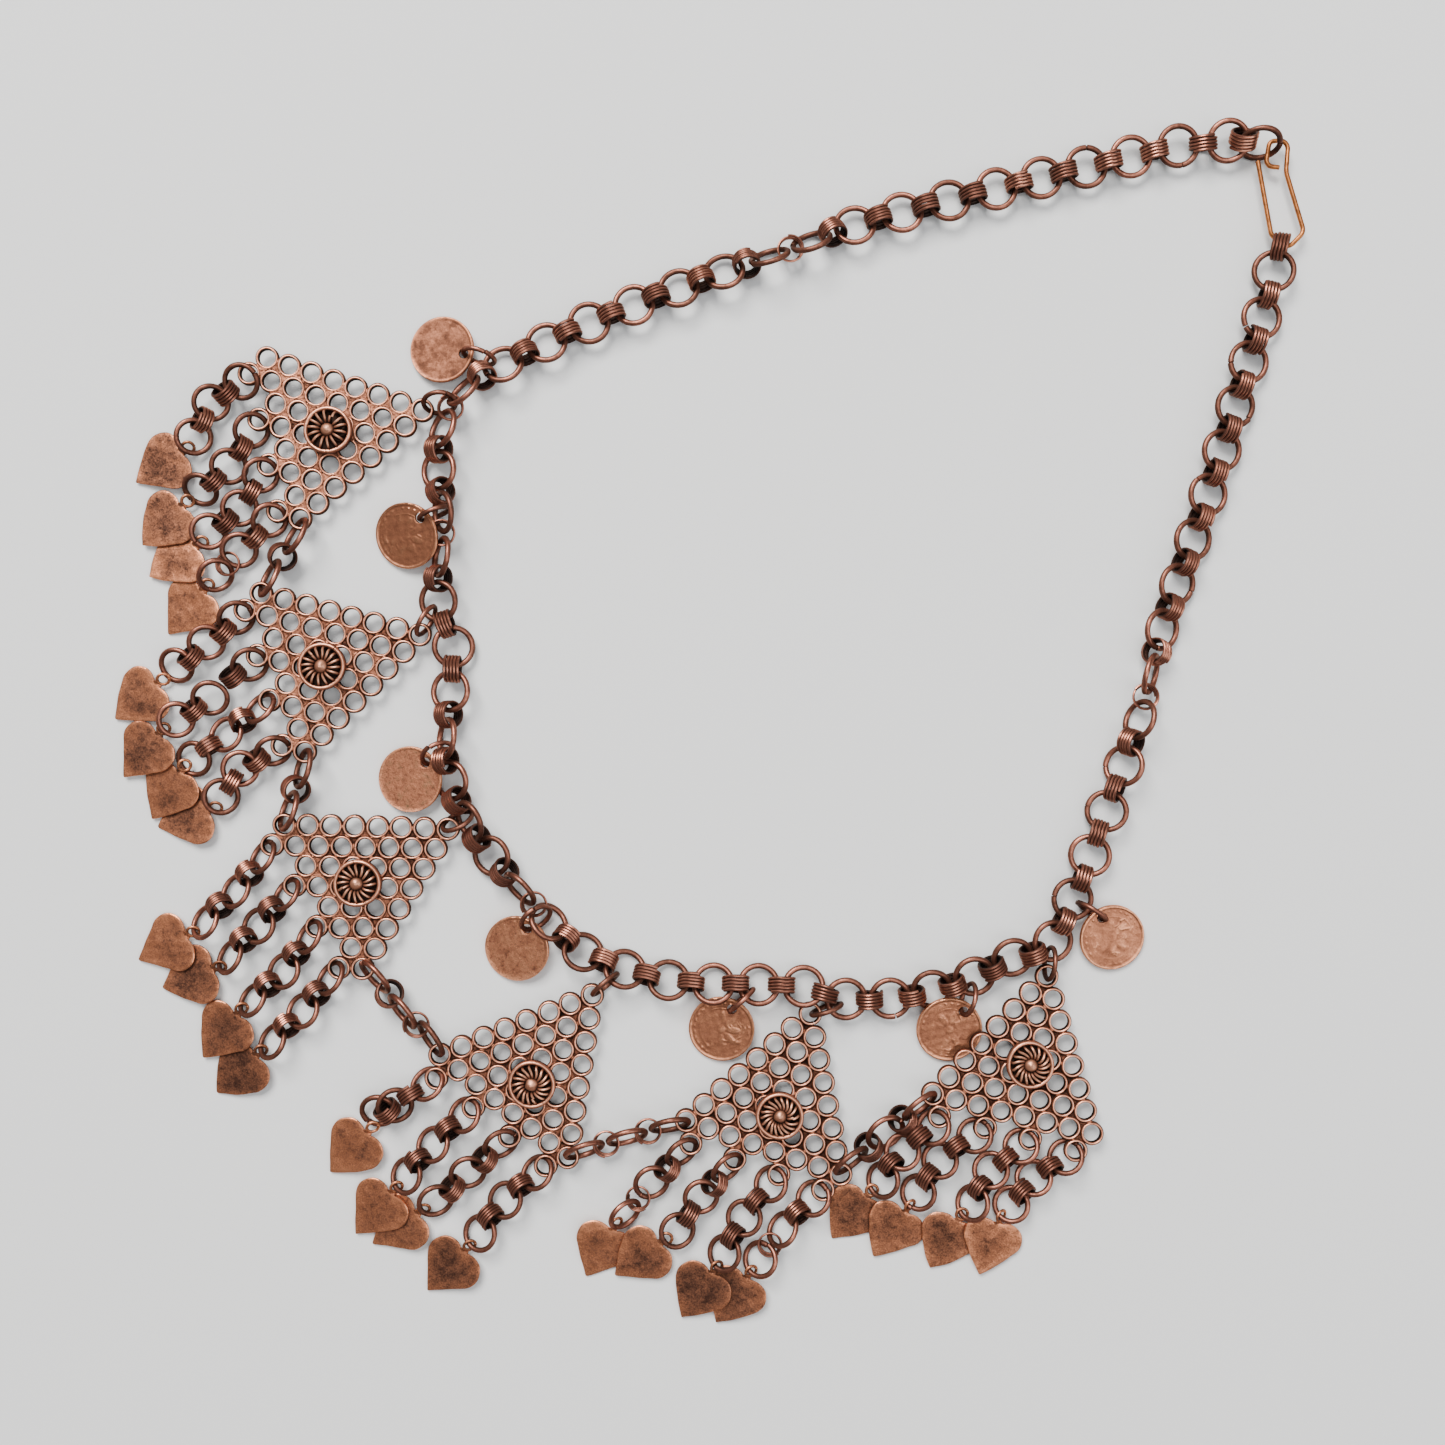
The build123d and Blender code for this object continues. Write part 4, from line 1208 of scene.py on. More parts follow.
@dataclass
class TrianglePlate:
    """Plate of soldered tube rings with a boss.

    Attributes:
        number: number of the plate.
        place: where it lies.
        touch: rings whose middles are nearer than this many pitches touch.
        rim: width of a tube ring's crown.
        close: how far its hole narrows below the crown.
        hanging_places: places of the hanging rings along the lowest row, in pitches.
        tube_shift: how far a tube ring strays sideways and up.
        tube_tall: its least and most height against the nominal one.
        tube_joint: width of its joint, and the share of rings that show one.
        wobble: how far the tube rings and the boss's ring are out of round.
        flood_chance: how much the solder differs from gap to gap.
        solder_level: height of the solder in an empty gap, and what a full one adds.
        solder_climb: how far it climbs round a full gap, and what an empty one adds.
        solder_wear_and_shade: its wear in an empty gap, painted darker as shade since it lies low, and what a
            full one adds.
        bridge_share: share of the seams that solder bridges, and what full gaps add.
        bridge_across: half of a bridge's width.
        bridge_long: least and most half length of a bridge, and what full gaps add.
        bridge_sink: least and most that a bridge stays below the crowns.
        boss_joint: width of the joint of the boss's ring, where that shows.
        loop_flat: power that flattens the tops of the rosette's turns.
        loop_chance: how unevenly the turns are spaced and sized.
    """

    number: int
    place: PlatePlace
    rows: int = 8
    pitch: float = 5.3
    touch: float = 1.1
    tube_outside: float = 5.4
    wall: float = 0.70
    rim: float = 0.52
    close: float = 0.1
    height: float = 1.6
    lift: float = 2.2
    rim_round: float = 0.27
    hanging_places: tuple[float, ...] = (3.0, 1.0, -1.0, -3.0)
    tube_steps: int = 36
    tube_shift: Pair = (0.035, 0.03)
    tube_lean: float = 0.018
    tube_tall: Pair = (0.98, 1.03)
    tube_joint: Pair = (0.1, 0.35)
    wobble: Pair = (0.03, 0.06)
    flood_chance: float = 0.13
    solder_level: Pair = (0.50, 1.04)
    solder_climb: Pair = (0.10, 0.35)
    solder_under: float = 0.32
    solder_wear_and_shade: Pair = (0.10, 0.64)
    bridge_points: int = 10
    bridge_share: Pair = (0.25, 0.7)
    bridge_across: float = 0.3
    bridge_long: tuple[float, float, float] = (0.35, 0.6, 0.4)
    bridge_sink: Pair = (0.06, 0.2)
    bridge_wear_and_shade: WearAndShade = (0.45, 0.68, 0.8)
    boss_outside: float = 10.8
    boss_wall: float = 0.95
    boss_height: float = 2.2
    boss_joint: float = 0.16
    boss_floor: float = 0.4
    boss_sink: float = 0.2
    boss_steps: int = 72
    floor_steps: int = 48
    loop_outside: float = 2.9
    loop_wire: float = 0.58
    loop_steps: int = 20
    loop_sides: int = 7
    loop_flat: float = 0.6
    loop_chance: Pair = (0.24, 0.06)
    loop_wear_and_shade: WearAndShade = (0.40, 0.58, 0.0)
    ball: float = 3.1
    ball_rise: float = 1.25
    ball_dent: float = 0.045
    ball_steps: tuple[int, int] = (13, 28)

    def __post_init__(self) -> None:
        """Finds the plate's pose and its rings' places."""
        heading = radians(self.place.heading)
        along = np.array([cos(heading), sin(heading), 0.0])
        origin = VIEW.spot(self.place.x, self.place.y, self.lift)
        self.pose = Pose.facing(origin, UP, along)
        step = self.pitch * sqrt(3) / 2
        apex = step * (self.rows - 1) * 2 / 3
        self.spots = [(apex - row * step, (row / 2 - n) * self.pitch)
                      for row in range(self.rows) for n in range(row + 1)]
        self.hanging = [(apex - self.rows * step, place * self.pitch) for place in self.hanging_places]
        self.middles = [np.array(spot) for spot in self.spots + self.hanging]
        self.rng = np.random.default_rng(100 + self.number)

    @property
    def node(self) -> str:
        """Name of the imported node."""
        return f"triangle_plate_{self.number}"

    def dressed(self, surface: Surface, name: str, crease: float, finish: CopperFinish) -> bpy.types.Object:
        """Makes one of the plate's pieces and dresses it."""
        return dress(surface.build(name, crease), finish, self.node)

    def lathe(self, surface: Surface, pose: Pose, profile: np.ndarray, wear: np.ndarray, steps: int,
              tone: float, gap: float, gap_at: float, wobble: float) -> None:
        """Turns a closed profile round an upright axis, with a butt joint.

        Args:
            surface: where the ring goes.
            pose: the ring's place, with its axis as local Z.
            profile: radius and height of each point of the section.
            wear: wear of each point of the section.
            steps: steps round the ring.
            tone: the ring's own shade.
            gap: width of the joint in millimetres, 0 for a closed ring.
            gap_at: angle of the joint.
            wobble: how far the ring is out of round, in millimetres.
        """
        mark = surface.mark()
        open_by = gap / profile[:, 0].mean()
        angle = gap_at + open_by / 2 + np.arange(steps + (1 if gap else 0)) / steps * (2 * pi - open_by)
        bent = wobble * np.cos(2 * angle + tone * 9) + wobble * 0.5 * np.cos(3 * angle + tone * 20)
        radius = profile[None, :, 0] + bent[:, None]
        points = around(radius, angle[:, None], profile[:, 1])
        numbers = surface.grid(pose.out(points), tone, wear[None], along=not gap)
        if gap:
            ends = points.mean(1)
            surface.fan(numbers[0], pose.out(ends[:1])[0], tone, 0.3, flip=True)
            surface.fan(numbers[-1], pose.out(ends[-1:])[0], tone, 0.3)
        surface.turn_out(mark)

    def tube_profile(self) -> tuple[np.ndarray, np.ndarray]:
        """Lays out a tube ring's wall.

        Returns:
            Radius and height of each point of its section, and the wear there, with painted highlight and
            shade.
        """
        outer, inner = self.tube_outside / 2, self.tube_outside / 2 - self.wall
        high, half, r = self.height, self.rim / 2, self.rim_round
        middle = inner + half
        # Painted highlight and shade: the crown is lightest along its top, the outer flank darkens down to
        # the foot, and the inside of the hole is painted nearly black as shade.
        crown = [(middle + half * cos(a), high - r + r * sin(a), 0.46 + 0.54 * sin(a) ** 1.3)
                 for a in np.linspace(0, pi, 7)]
        below = [(inner - self.close, 0.2, 0.0), (inner, 0.02, 0.05), (outer - 0.08, 0.02, 0.1),
                 (outer, 0.3, 0.14), (outer, high * 0.72, 0.34)]
        inside = [(inner, high * 0.7, 0.04), (inner - self.close, high * 0.4, 0.0)]
        table = np.array(below + crown + inside)
        return table[:, :2], table[:, 2]

    def tubes(self) -> bpy.types.Object:
        """Makes the tube rings.

        Returns:
            The piece.
        """
        surface = Surface()
        profile, wear = self.tube_profile()
        for x, y in self.spots + self.hanging:
            jitter = self.rng.normal(0, self.tube_shift[0], 2)
            lean = self.rng.normal(0, self.tube_lean, 2)
            up = self.rng.normal(0, self.tube_shift[1])
            origin = self.pose.out(np.array([x + jitter[0], y + jitter[1], up]))
            normal = np.array([lean[0], lean[1], 1.0])
            seat = Pose.facing(origin, normal, self.pose.axes[0])
            gap = self.tube_joint[0] if self.rng.uniform() < self.tube_joint[1] else 0.0
            own = profile * np.array([1.0, self.rng.uniform(*self.tube_tall)])
            self.lathe(surface, seat, own, wear, self.tube_steps, self.rng.uniform(),
                       gap, self.rng.uniform(0, 2 * pi), self.wobble[0])
        return self.dressed(surface, f"plate_{self.number}_tube_rings", 50, PLATE_FINISH)

    def cells(self) -> list[tuple[np.ndarray, ...]]:
        """Finds the gaps between three rings that touch.

        Returns:
            The middles of the three rings round each gap.
        """
        near = self.pitch * self.touch
        return [trio for trio in combinations(self.middles, 3)
                if all(hypot(*(a - b)) < near for a, b in combinations(trio, 2))]

    def flood_at(self, along: float) -> float:
        """How full of solder a gap is, a little by chance.

        Args:
            along: where it is along the plate, in millimetres.

        Returns:
            The share, 1 for a full gap.
        """
        low, high = self.hanging[0][0], self.spots[0][0]
        share = (along - low) / (high - low)
        flood = self.place.flood[0] * (1 - share) + self.place.flood[1] * share
        return float(np.clip(flood + self.rng.normal(0, self.flood_chance), 0.05, 1.0))

    def bridges(self, surface: Surface) -> None:
        """Adds small domes of solder over some of the seams between two rings.

        Args:
            surface: the solder's surface.
        """
        turn = angles(self.bridge_points)
        bare, added = self.bridge_share
        least, most, longer = self.bridge_long
        for a, b in combinations(self.middles, 2):
            flood = self.flood_at((a[0] + b[0]) / 2)
            far = hypot(*(a - b)) > self.pitch * self.touch
            if far or self.rng.uniform() > bare + added * flood:
                continue
            way = unit_vector(b - a)
            side = np.array([-way[1], way[0]])
            long = self.rng.uniform(least, most + longer * flood)
            rim = np.cos(turn)[:, None] * way * self.bridge_across + np.sin(turn)[:, None] * side * long
            middle = (a + b) / 2 + side * self.rng.normal(0, 0.15)
            top = self.height - self.rng.uniform(*self.bridge_sink)
            rows = [np.column_stack([middle + rim * share, np.full(self.bridge_points, z)])
                    for share, z in ((1.0, 1.0), (0.8, top - 0.08), (0.4, top - 0.01))]
            tone = self.rng.uniform()
            # Painted shade: each bridge is darker at its foot than on its top, and darkest underneath.
            wear = np.array(self.bridge_wear_and_shade)[:, None] + np.zeros(self.bridge_points)
            numbers = surface.grid(self.pose.out(np.array(rows)), tone, wear)
            surface.fan(numbers[-1], self.pose.out(np.array([*middle, top])), tone, 0.84)
            surface.fan(numbers[0], self.pose.out(np.array([*middle, 0.95])), tone, 0.2, flip=True)

    def solder(self) -> bpy.types.Object:
        """Makes the solder in the gaps between the rings and over their seams.

        Returns:
            The piece.
        """
        surface = Surface()
        radius = self.tube_outside / 2 - self.wall * 0.4
        for corners in self.cells():
            middle = sum(corners) / 3
            flood = self.flood_at(middle[0])
            rim = []
            for n in range(3):
                own, before, after = corners[n], corners[n - 2], corners[n - 1]
                start = atan2(*(before - own)[::-1])
                span = (atan2(*(after - own)[::-1]) - start + pi) % (2 * pi) - pi
                for t in np.arange(7) / 7:
                    angle = start + span * t
                    rim.append(own + radius * np.array([cos(angle), sin(angle)]))
            rim_points = np.array(rim)
            shares = np.array([1.0, 0.78, 0.56, 0.34, 0.14])
            level = self.solder_level[0] + self.solder_level[1] * flood
            climb = self.solder_climb[0] + self.solder_climb[1] * (1 - flood)
            climb = np.minimum(level + climb * shares**3, self.height - 0.04)
            lump = self.rng.normal(0, 0.05, (len(shares), len(rim_points))) * (1 - shares[:, None])
            flat = middle + shares[:, None, None] * (rim_points - middle)
            top = np.concatenate([flat, (climb[:, None] + lump)[..., None]], -1)
            tone = self.rng.uniform()
            # Painted shade: solder that lies low in its gap is darker, its outer rows are darkened as a
            # crease where it meets the rings, and its underside is dark.
            crease = np.array([0.22, 0.04, 0.0, 0.0, 0.0])
            wear = self.solder_wear_and_shade[0] + self.solder_wear_and_shade[1] * flood - crease[:, None] * flood
            wear = wear + np.zeros(len(rim_points))
            flip = np.cross(rim_points[1] - rim_points[0], middle - rim_points[0]) < 0
            numbers = surface.grid(self.pose.out(top), tone, wear, flip=bool(flip))
            centre = self.pose.out(np.array([*middle, level]))
            surface.fan(numbers[-1], centre, tone, float(wear[-1, 0]), flip=bool(flip))
            under = np.concatenate([flat[:2], np.full((2, len(rim_points), 1), self.solder_under)], -1)
            numbers = surface.grid(self.pose.out(under), tone, 0.15, flip=not flip)
            centre = self.pose.out(np.array([*middle, self.solder_under - 0.02]))
            surface.fan(numbers[-1], centre, tone, 0.15, flip=not flip)
        self.bridges(surface)
        return self.dressed(surface, f"plate_{self.number}_solder", 60, SOLDER_FINISH)

    def boss_pose(self) -> Pose:
        """Finds the boss's seat.

        Returns:
            The place of its floor.
        """
        along, across = (value * VIEW.unit for value in self.place.boss)
        seat = np.array([along, across, self.height - self.boss_sink])
        return Pose(self.pose.out(seat), self.pose.axes)

    def boss_cup(self) -> bpy.types.Object:
        """Makes the boss's ring and its floor.

        Returns:
            The piece.
        """
        surface = Surface()
        pose = self.boss_pose()
        outer, half, high = self.boss_outside / 2, self.boss_wall / 2, self.boss_height
        inner, middle = outer - self.boss_wall, outer - half
        arc = np.linspace(0, pi, 9)
        # Painted highlight and shade: the crown of the boss's ring is lightest along its top and its outer
        # flank darkens downwards; the inside and the floor are dark.
        crown = [(middle + half * cos(a), high - half + half * sin(a), 0.62 + 0.36 * sin(a)) for a in arc]
        rows = [(inner, self.boss_floor, 0.08), (inner + 0.1, 0.02, 0.1), (outer - 0.1, 0.02, 0.2),
                (outer - 0.02, 0.5, 0.32)] + crown + [(inner, high * 0.5, 0.22)]
        table = np.array(rows)
        tone = float(self.rng.uniform(0.3, 0.8))
        gap = self.boss_joint if self.number in BOSS_JOINTS else 0.0
        gap_at = radians(BOSS_JOINTS.get(self.number, 0))
        self.lathe(surface, pose, table[:, :2], table[:, 2], self.boss_steps, tone, gap, gap_at,
                   self.wobble[1])
        turn = angles(self.floor_steps)
        reach = np.array([inner + 0.15, inner * 0.8, inner * 0.5, inner * 0.2])
        sag = np.array([0.0, -0.05, -0.1, -0.12])
        floor = around(reach[:, None], turn, (self.boss_floor + sag)[:, None])
        numbers = surface.grid(pose.out(floor), tone, 0.12)
        surface.fan(numbers[-1], pose.out(np.array([0, 0, self.boss_floor - 0.12])), tone, 0.12)
        floor[..., 2] = 0.05
        numbers = surface.grid(pose.out(floor), tone, 0.2, flip=True)
        surface.fan(numbers[-1], pose.out(np.array([0, 0, 0.05])), tone, 0.2, flip=True)
        return self.dressed(surface, f"plate_{self.number}_boss_cup", 50, CUP_FINISH)

    def rosette(self) -> bpy.types.Object:
        """Makes the coiled wire round the ball, bent into a ring.

        Returns:
            The piece.
        """
        surface = Surface()
        pose = self.boss_pose()
        inner = self.boss_outside / 2 - self.boss_wall
        ring_radius = (self.ball / 2 + inner) / 2
        across = (inner - self.ball / 2 - self.loop_wire) / 2 + 0.08
        upright = (self.loop_outside - self.loop_wire) / 2
        loops = self.place.loops
        count = loops * self.loop_steps
        share = np.arange(count + 1) / count
        shifts = np.cumsum(self.rng.normal(0, self.loop_chance[0], loops + 1))
        shifts -= np.linspace(0, shifts[-1], loops + 1)
        drift = np.interp(share * loops, np.arange(loops + 1), shifts) / loops
        round_at = (share + drift * 0.35) * 2 * pi * 0.985 + self.number
        wind = share * loops * 2 * pi + pi / 2
        swirl = self.place.swirl * np.cos(wind)
        sizes = self.rng.normal(0, self.loop_chance[1], loops + 1)
        size = 1 + np.interp(share * loops, np.arange(loops + 1), sizes)
        radius = ring_radius + across * np.cos(wind)
        angle = round_at + swirl
        rise = np.sign(np.sin(wind)) * np.abs(np.sin(wind)) ** self.loop_flat
        height = self.boss_floor + self.loop_wire / 2 + upright + upright * size * rise
        local = around(radius, angle, height)
        out = local - around(ring_radius, angle, self.boss_floor + self.loop_wire / 2 + upright)
        # Painted shade: the lower half of each turn of the wire is darker and its top lighter, a little
        # darker still on the side towards the ball.
        painted_loop_light = 0.1 + 0.9 * np.clip(0.4 + 1.3 * np.sin(wind), 0, 1) * np.clip(0.95 + 0.3 * np.cos(wind), 0, 1)
        sweep(surface, pose.out(local), out @ pose.axes, self.loop_wire / 2, 0.5, self.loop_wear_and_shade,
              self.loop_sides, 1.0, painted_loop_light)
        return self.dressed(surface, f"plate_{self.number}_rosette_wire", 38, ROSETTE_FINISH)

    def centre_ball(self) -> bpy.types.Object:
        """Makes the granule in the middle of the rosette, a little flattened and dented.

        Returns:
            The piece.
        """
        surface = Surface()
        pose = self.boss_pose()
        radius = self.ball / 2
        lift = np.linspace(-0.86, 0.98, self.ball_steps[0])
        turn = angles(self.ball_steps[1])
        lumps = self.rng.normal(0, 1, (3, 3))
        rows = []
        for s in lift:
            ring = sqrt(max(1 - s * s, 0))
            way = around(ring, turn, s)
            dent = 1 + self.ball_dent * np.sin(way @ lumps * 2.2).sum(1)
            rows.append(way * radius * dent[:, None])
        points = np.array(rows)
        points[..., 2] = points[..., 2] * 0.94 + self.boss_floor + self.ball_rise
        # Painted highlight and shade: the ball is lighter towards its top and darker underneath.
        wear = 0.42 + 0.5 * np.broadcast_to(lift[:, None], self.ball_steps)
        mark = surface.mark()
        numbers = surface.grid(pose.out(points), 0.5, wear)
        surface.fan(numbers[-1], pose.out(np.array([0, 0, points[-1, :, 2].mean() + 0.03])), 0.5, 0.95)
        surface.fan(numbers[0], pose.out(np.array([0, 0, points[0, :, 2].mean()])), 0.5, 0.1, flip=True)
        surface.turn_out(mark)
        return self.dressed(surface, f"plate_{self.number}_ball", 38, ROSETTE_FINISH)

    def build(self) -> list[bpy.types.Object]:
        """Makes the plate's pieces, which stand for its node."""
        return [self.tubes(), self.solder(), self.boss_cup(), self.rosette(), self.centre_ball()]

    def rings(self) -> list[Loose]:
        """The plate's rings as pieces that stay where they are.

        Returns:
            The pieces.
        """
        half = self.wall / 2
        heights = (half, self.height / 2, self.height - half)
        middle = (self.tube_outside - self.wall) / 2
        return [Loose(Pose(self.pose.out(np.array([x, y, 0.0])), self.pose.axes),
                      [(middle, height) for height in heights], half, True)
                for x, y in self.hanging + self.spots]


@dataclass
class Heart:
    """Heart of beaten sheet that hangs by its eye.

    Attributes:
        node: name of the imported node.
        seed: seed of its own unevenness.
        twist: how far its eye is twisted out of the sheet, in degrees.
    """

    node: str
    seed: int
    twist: float
    length: float = 14.6
    width: float = 13.8
    lobe: float = 4.0
    shoulder: float = 1.35
    tip: float = 0.35
    eye_outside: float = 3.4
    eye_hole: float = 1.9
    neck: float = 2.3
    sheet: float = 0.42

    def __post_init__(self) -> None:
        """Reads the heart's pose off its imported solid."""
        self.rng = np.random.default_rng(self.seed)
        points, _ = SolidReader.points(self.node)
        normal = SolidReader.axes(points)[1][2]
        picks = points if len(points) < 3000 else points[:: len(points) // 2500 + 1]
        gaps = np.linalg.norm(picks[:, None] - picks[None], axis=2)
        i, k = np.unravel_index(int(gaps.argmax()), gaps.shape)
        ends = (picks[i], picks[k])
        crowd = [int((np.linalg.norm(points - end, axis=1) < 3.2).sum()) for end in ends]
        eye_end, tip_end = ends if crowd[0] > crowd[1] else ends[::-1]
        along = unit_vector(tip_end - eye_end)
        along = unit_vector(along - normal * (along @ normal))
        middle_height = (points @ normal).mean()
        eye = eye_end + along * self.eye_outside / 2
        eye = eye + normal * (middle_height - eye @ normal)
        self.pose = Pose.facing(eye, normal, along)
        angle = radians(self.twist)
        x, y, z = self.pose.axes
        self.eye_pose = Pose.facing(eye.copy(), z * cos(angle) + y * sin(angle), x)

    def outline(self) -> np.ndarray:
        """Edge of the sheet without the eye, in its own frame.

        Returns:
            The points of the edge, round from the neck's left side to its right side.
        """
        lobe_x, lobe_y = self.shoulder + self.lobe, self.width / 2 - self.lobe
        tip_x = self.length - self.tip
        neck_start = atan2(self.neck / 2 - lobe_y, -sqrt(self.lobe**2 - (self.neck / 2 - lobe_y) ** 2))
        slope = atan2(-lobe_y, tip_x - lobe_x)
        touch = slope + acos((self.lobe - self.tip) / hypot(tip_x - lobe_x, lobe_y))
        lobe = [(lobe_x + self.lobe * cos(a), lobe_y + self.lobe * sin(a))
                for a in np.linspace(neck_start + 2 * pi, touch, 24)]
        start = lobe[-1]
        end = (tip_x + self.tip * cos(touch), self.tip * sin(touch))
        side = []
        fullness = self.rng.uniform(-0.1, 0.4)
        for t in np.linspace(0, 1, 15)[1:-1]:
            bulge = fullness * sin(pi * t)
            side.append((start[0] + (end[0] - start[0]) * t + bulge * cos(touch),
                         start[1] + (end[1] - start[1]) * t + bulge * sin(touch)))
        point = [(tip_x + self.tip * cos(a), self.tip * sin(a)) for a in np.linspace(touch, 0, 4)]
        upper = lobe + side + point
        lower = [(x, -y) for x, y in reversed(upper[:-1])]
        neck = [(upper[0][0], y) for y in np.linspace(-self.neck / 2, self.neck / 2, 6)[1:-1]]
        edge = np.array(upper + lower + neck)
        wave = np.arange(len(edge)) * 2 * pi / len(edge)
        phase = self.rng.uniform(0, 6, 3)
        uneven = 0.06 * np.sin(3 * wave + phase[0]) + 0.05 * np.sin(5 * wave + phase[1]) \
            + 0.03 * np.sin(11 * wave + phase[2])
        away = edge - np.array([self.length * 0.47, 0.0])
        return edge + away * (uneven / np.linalg.norm(away, axis=1))[:, None]

    def beaten(self, flat: np.ndarray) -> np.ndarray:
        """Height of the beaten sheet over its own plane, kept within the room between the hearts.

        Args:
            flat: places on the sheet, in its own frame.

        Returns:
            The height at each place in millimetres.
        """
        phase = np.random.default_rng(self.seed + 7).uniform(0, 6, 4)
        u, v = flat[..., 0], flat[..., 1]
        wave = np.sin(u * 0.55 + phase[0]) * np.cos(v * 0.5 + phase[1]) * 0.05
        return wave + 0.025 * np.sin(u * 1.7 + v * 0.9 + phase[2]) * np.cos(v * 1.4 - u * 0.6 + phase[3])

    def build(self) -> bpy.types.Object:
        """Makes the heart.

        Returns:
            The piece, which stands for its node.
        """
        surface = Surface()
        tone = float(self.rng.uniform())
        edge = self.outline()
        centre = np.array([self.length * 0.5, 0.0])
        half = self.sheet / 2
        shares = np.array([1.0, 0.988, 0.95, 0.86, 0.74, 0.62, 0.49, 0.36, 0.23, 0.1])
        rise = np.array([0.35, 0.85] + [1.0] * 8) * half
        rims = []
        for sign in (1, -1):
            picks = slice(None) if sign > 0 else [0, 1, 2, 4, 6, 9]
            share, up = shares[picks], rise[picks]
            flat = centre + share[:, None, None] * (edge - centre)
            height = self.beaten(flat) + sign * up[:, None]
            points = np.concatenate([flat, height[..., None]], -1)
            # Lighter towards the edge, and the underside is painted darker as shade.
            wear = 0.33 + 0.34 * share[:, None] ** 2.5 + 0.1 * (share[:, None] > 0.94)
            wear = wear - (0.12 if sign < 0 else 0)
            numbers = surface.grid(self.pose.out(points), tone, wear + np.zeros(len(edge)), flip=sign > 0)
            middle = np.array([*centre, self.beaten(centre) + sign * half])
            surface.fan(numbers[-1], self.pose.out(middle), tone, 0.34, flip=sign < 0)
            rims.append(numbers[0])
        top_rim, under_rim = rims
        band = np.stack([top_rim, np.roll(top_rim, -1), np.roll(under_rim, -1), under_rim], -1)
        surface.fours.append(band)
        surface.turn_out((0, 0))
        self.add_eye(surface, tone)
        return dress(surface.build(self.node + "_sheet", 45), HEART_FINISH, self.node)

    def add_eye(self, surface: Surface, tone: float) -> None:
        """Adds the eye, a strip curled into a small ring, and the neck that twists up to it.

        Args:
            surface: the heart's surface.
            tone: the heart's own shade.
        """
        middle = (self.eye_outside + self.eye_hole) / 4
        half = (self.eye_outside - self.eye_hole) / 4
        steps = 32
        angle = np.arange(steps + 1) / steps * (2 * pi - 0.12) + 0.06 + pi * 0.85
        # The eye gets painted highlight on faces that look up and painted shade on its inner side.
        sweep(surface, self.eye_pose.out(around(middle, angle)), around(1.0, angle) @ self.eye_pose.axes,
              half, tone, (0.42, 0.3, 0.1), 10, 0.8)
        mark = surface.mark()
        rows = []
        lobe_y = self.width / 2 - self.lobe
        neck_x = self.shoulder + self.lobe - sqrt(self.lobe**2 - (self.neck / 2 - lobe_y) ** 2)
        for t in np.linspace(0, 1, 8):
            ease = t * t * (3 - 2 * t)
            turn = radians(self.twist) * (1 - ease)
            wide = 0.95 + (self.neck * 0.54 - 0.95) * ease
            thick = self.sheet / 2 * 0.96
            x = middle * 0.92 + (neck_x + 0.55 - middle * 0.92) * t
            across = np.array([0.0, cos(turn), -sin(turn)])
            upward = np.array([0.0, sin(turn), cos(turn)])
            ring = []
            for a in angles(12):
                c, s = cos(a), sin(a)
                ring.append(np.array([x, 0, 0]) + across * wide * np.sign(c) * abs(c) ** 0.5
                            + upward * thick * np.sign(s) * abs(s) ** 0.6)
            rows.append(ring)
        points = np.array(rows)
        points[..., 2] += self.beaten(points[..., :2]) * np.linspace(0, 1, 8)[:, None]
        numbers = surface.grid(self.pose.out(points), tone, 0.5)
        surface.fan(numbers[0], self.pose.out(points[0].mean(0)), tone, 0.4, flip=True)
        surface.fan(numbers[-1], self.pose.out(points[-1].mean(0)), tone, 0.4)
        surface.turn_out(mark)

    def body(self) -> list[Loose]:
        """The eye and the sheet as pieces that stay where they are.

        Returns:
            The two pieces.
        """
        middle = (self.eye_outside + self.eye_hole) / 4
        half = (self.eye_outside - self.eye_hole) / 4
        eye = Loose(self.eye_pose, [(middle, 0.0)], half, True)
        lobe_x, lobe_y = self.shoulder + self.lobe, self.width / 2 - self.lobe
        inside = []
        for u in np.arange(lobe_x - self.lobe + 0.4, self.length, 0.5):
            for v in np.arange(-self.width / 2, self.width / 2, 0.5):
                in_lobe = hypot(u - lobe_x, abs(v) - lobe_y) < self.lobe - 0.2
                side = (self.length - u) / (self.length - lobe_x) * self.width / 2
                if in_lobe or (u > lobe_x and abs(v) < side - 0.2):
                    inside.append((u, v, 0.0))
        sheet = Loose(self.pose, [], self.sheet / 2, True, np.array(inside))
        return [eye, sheet]


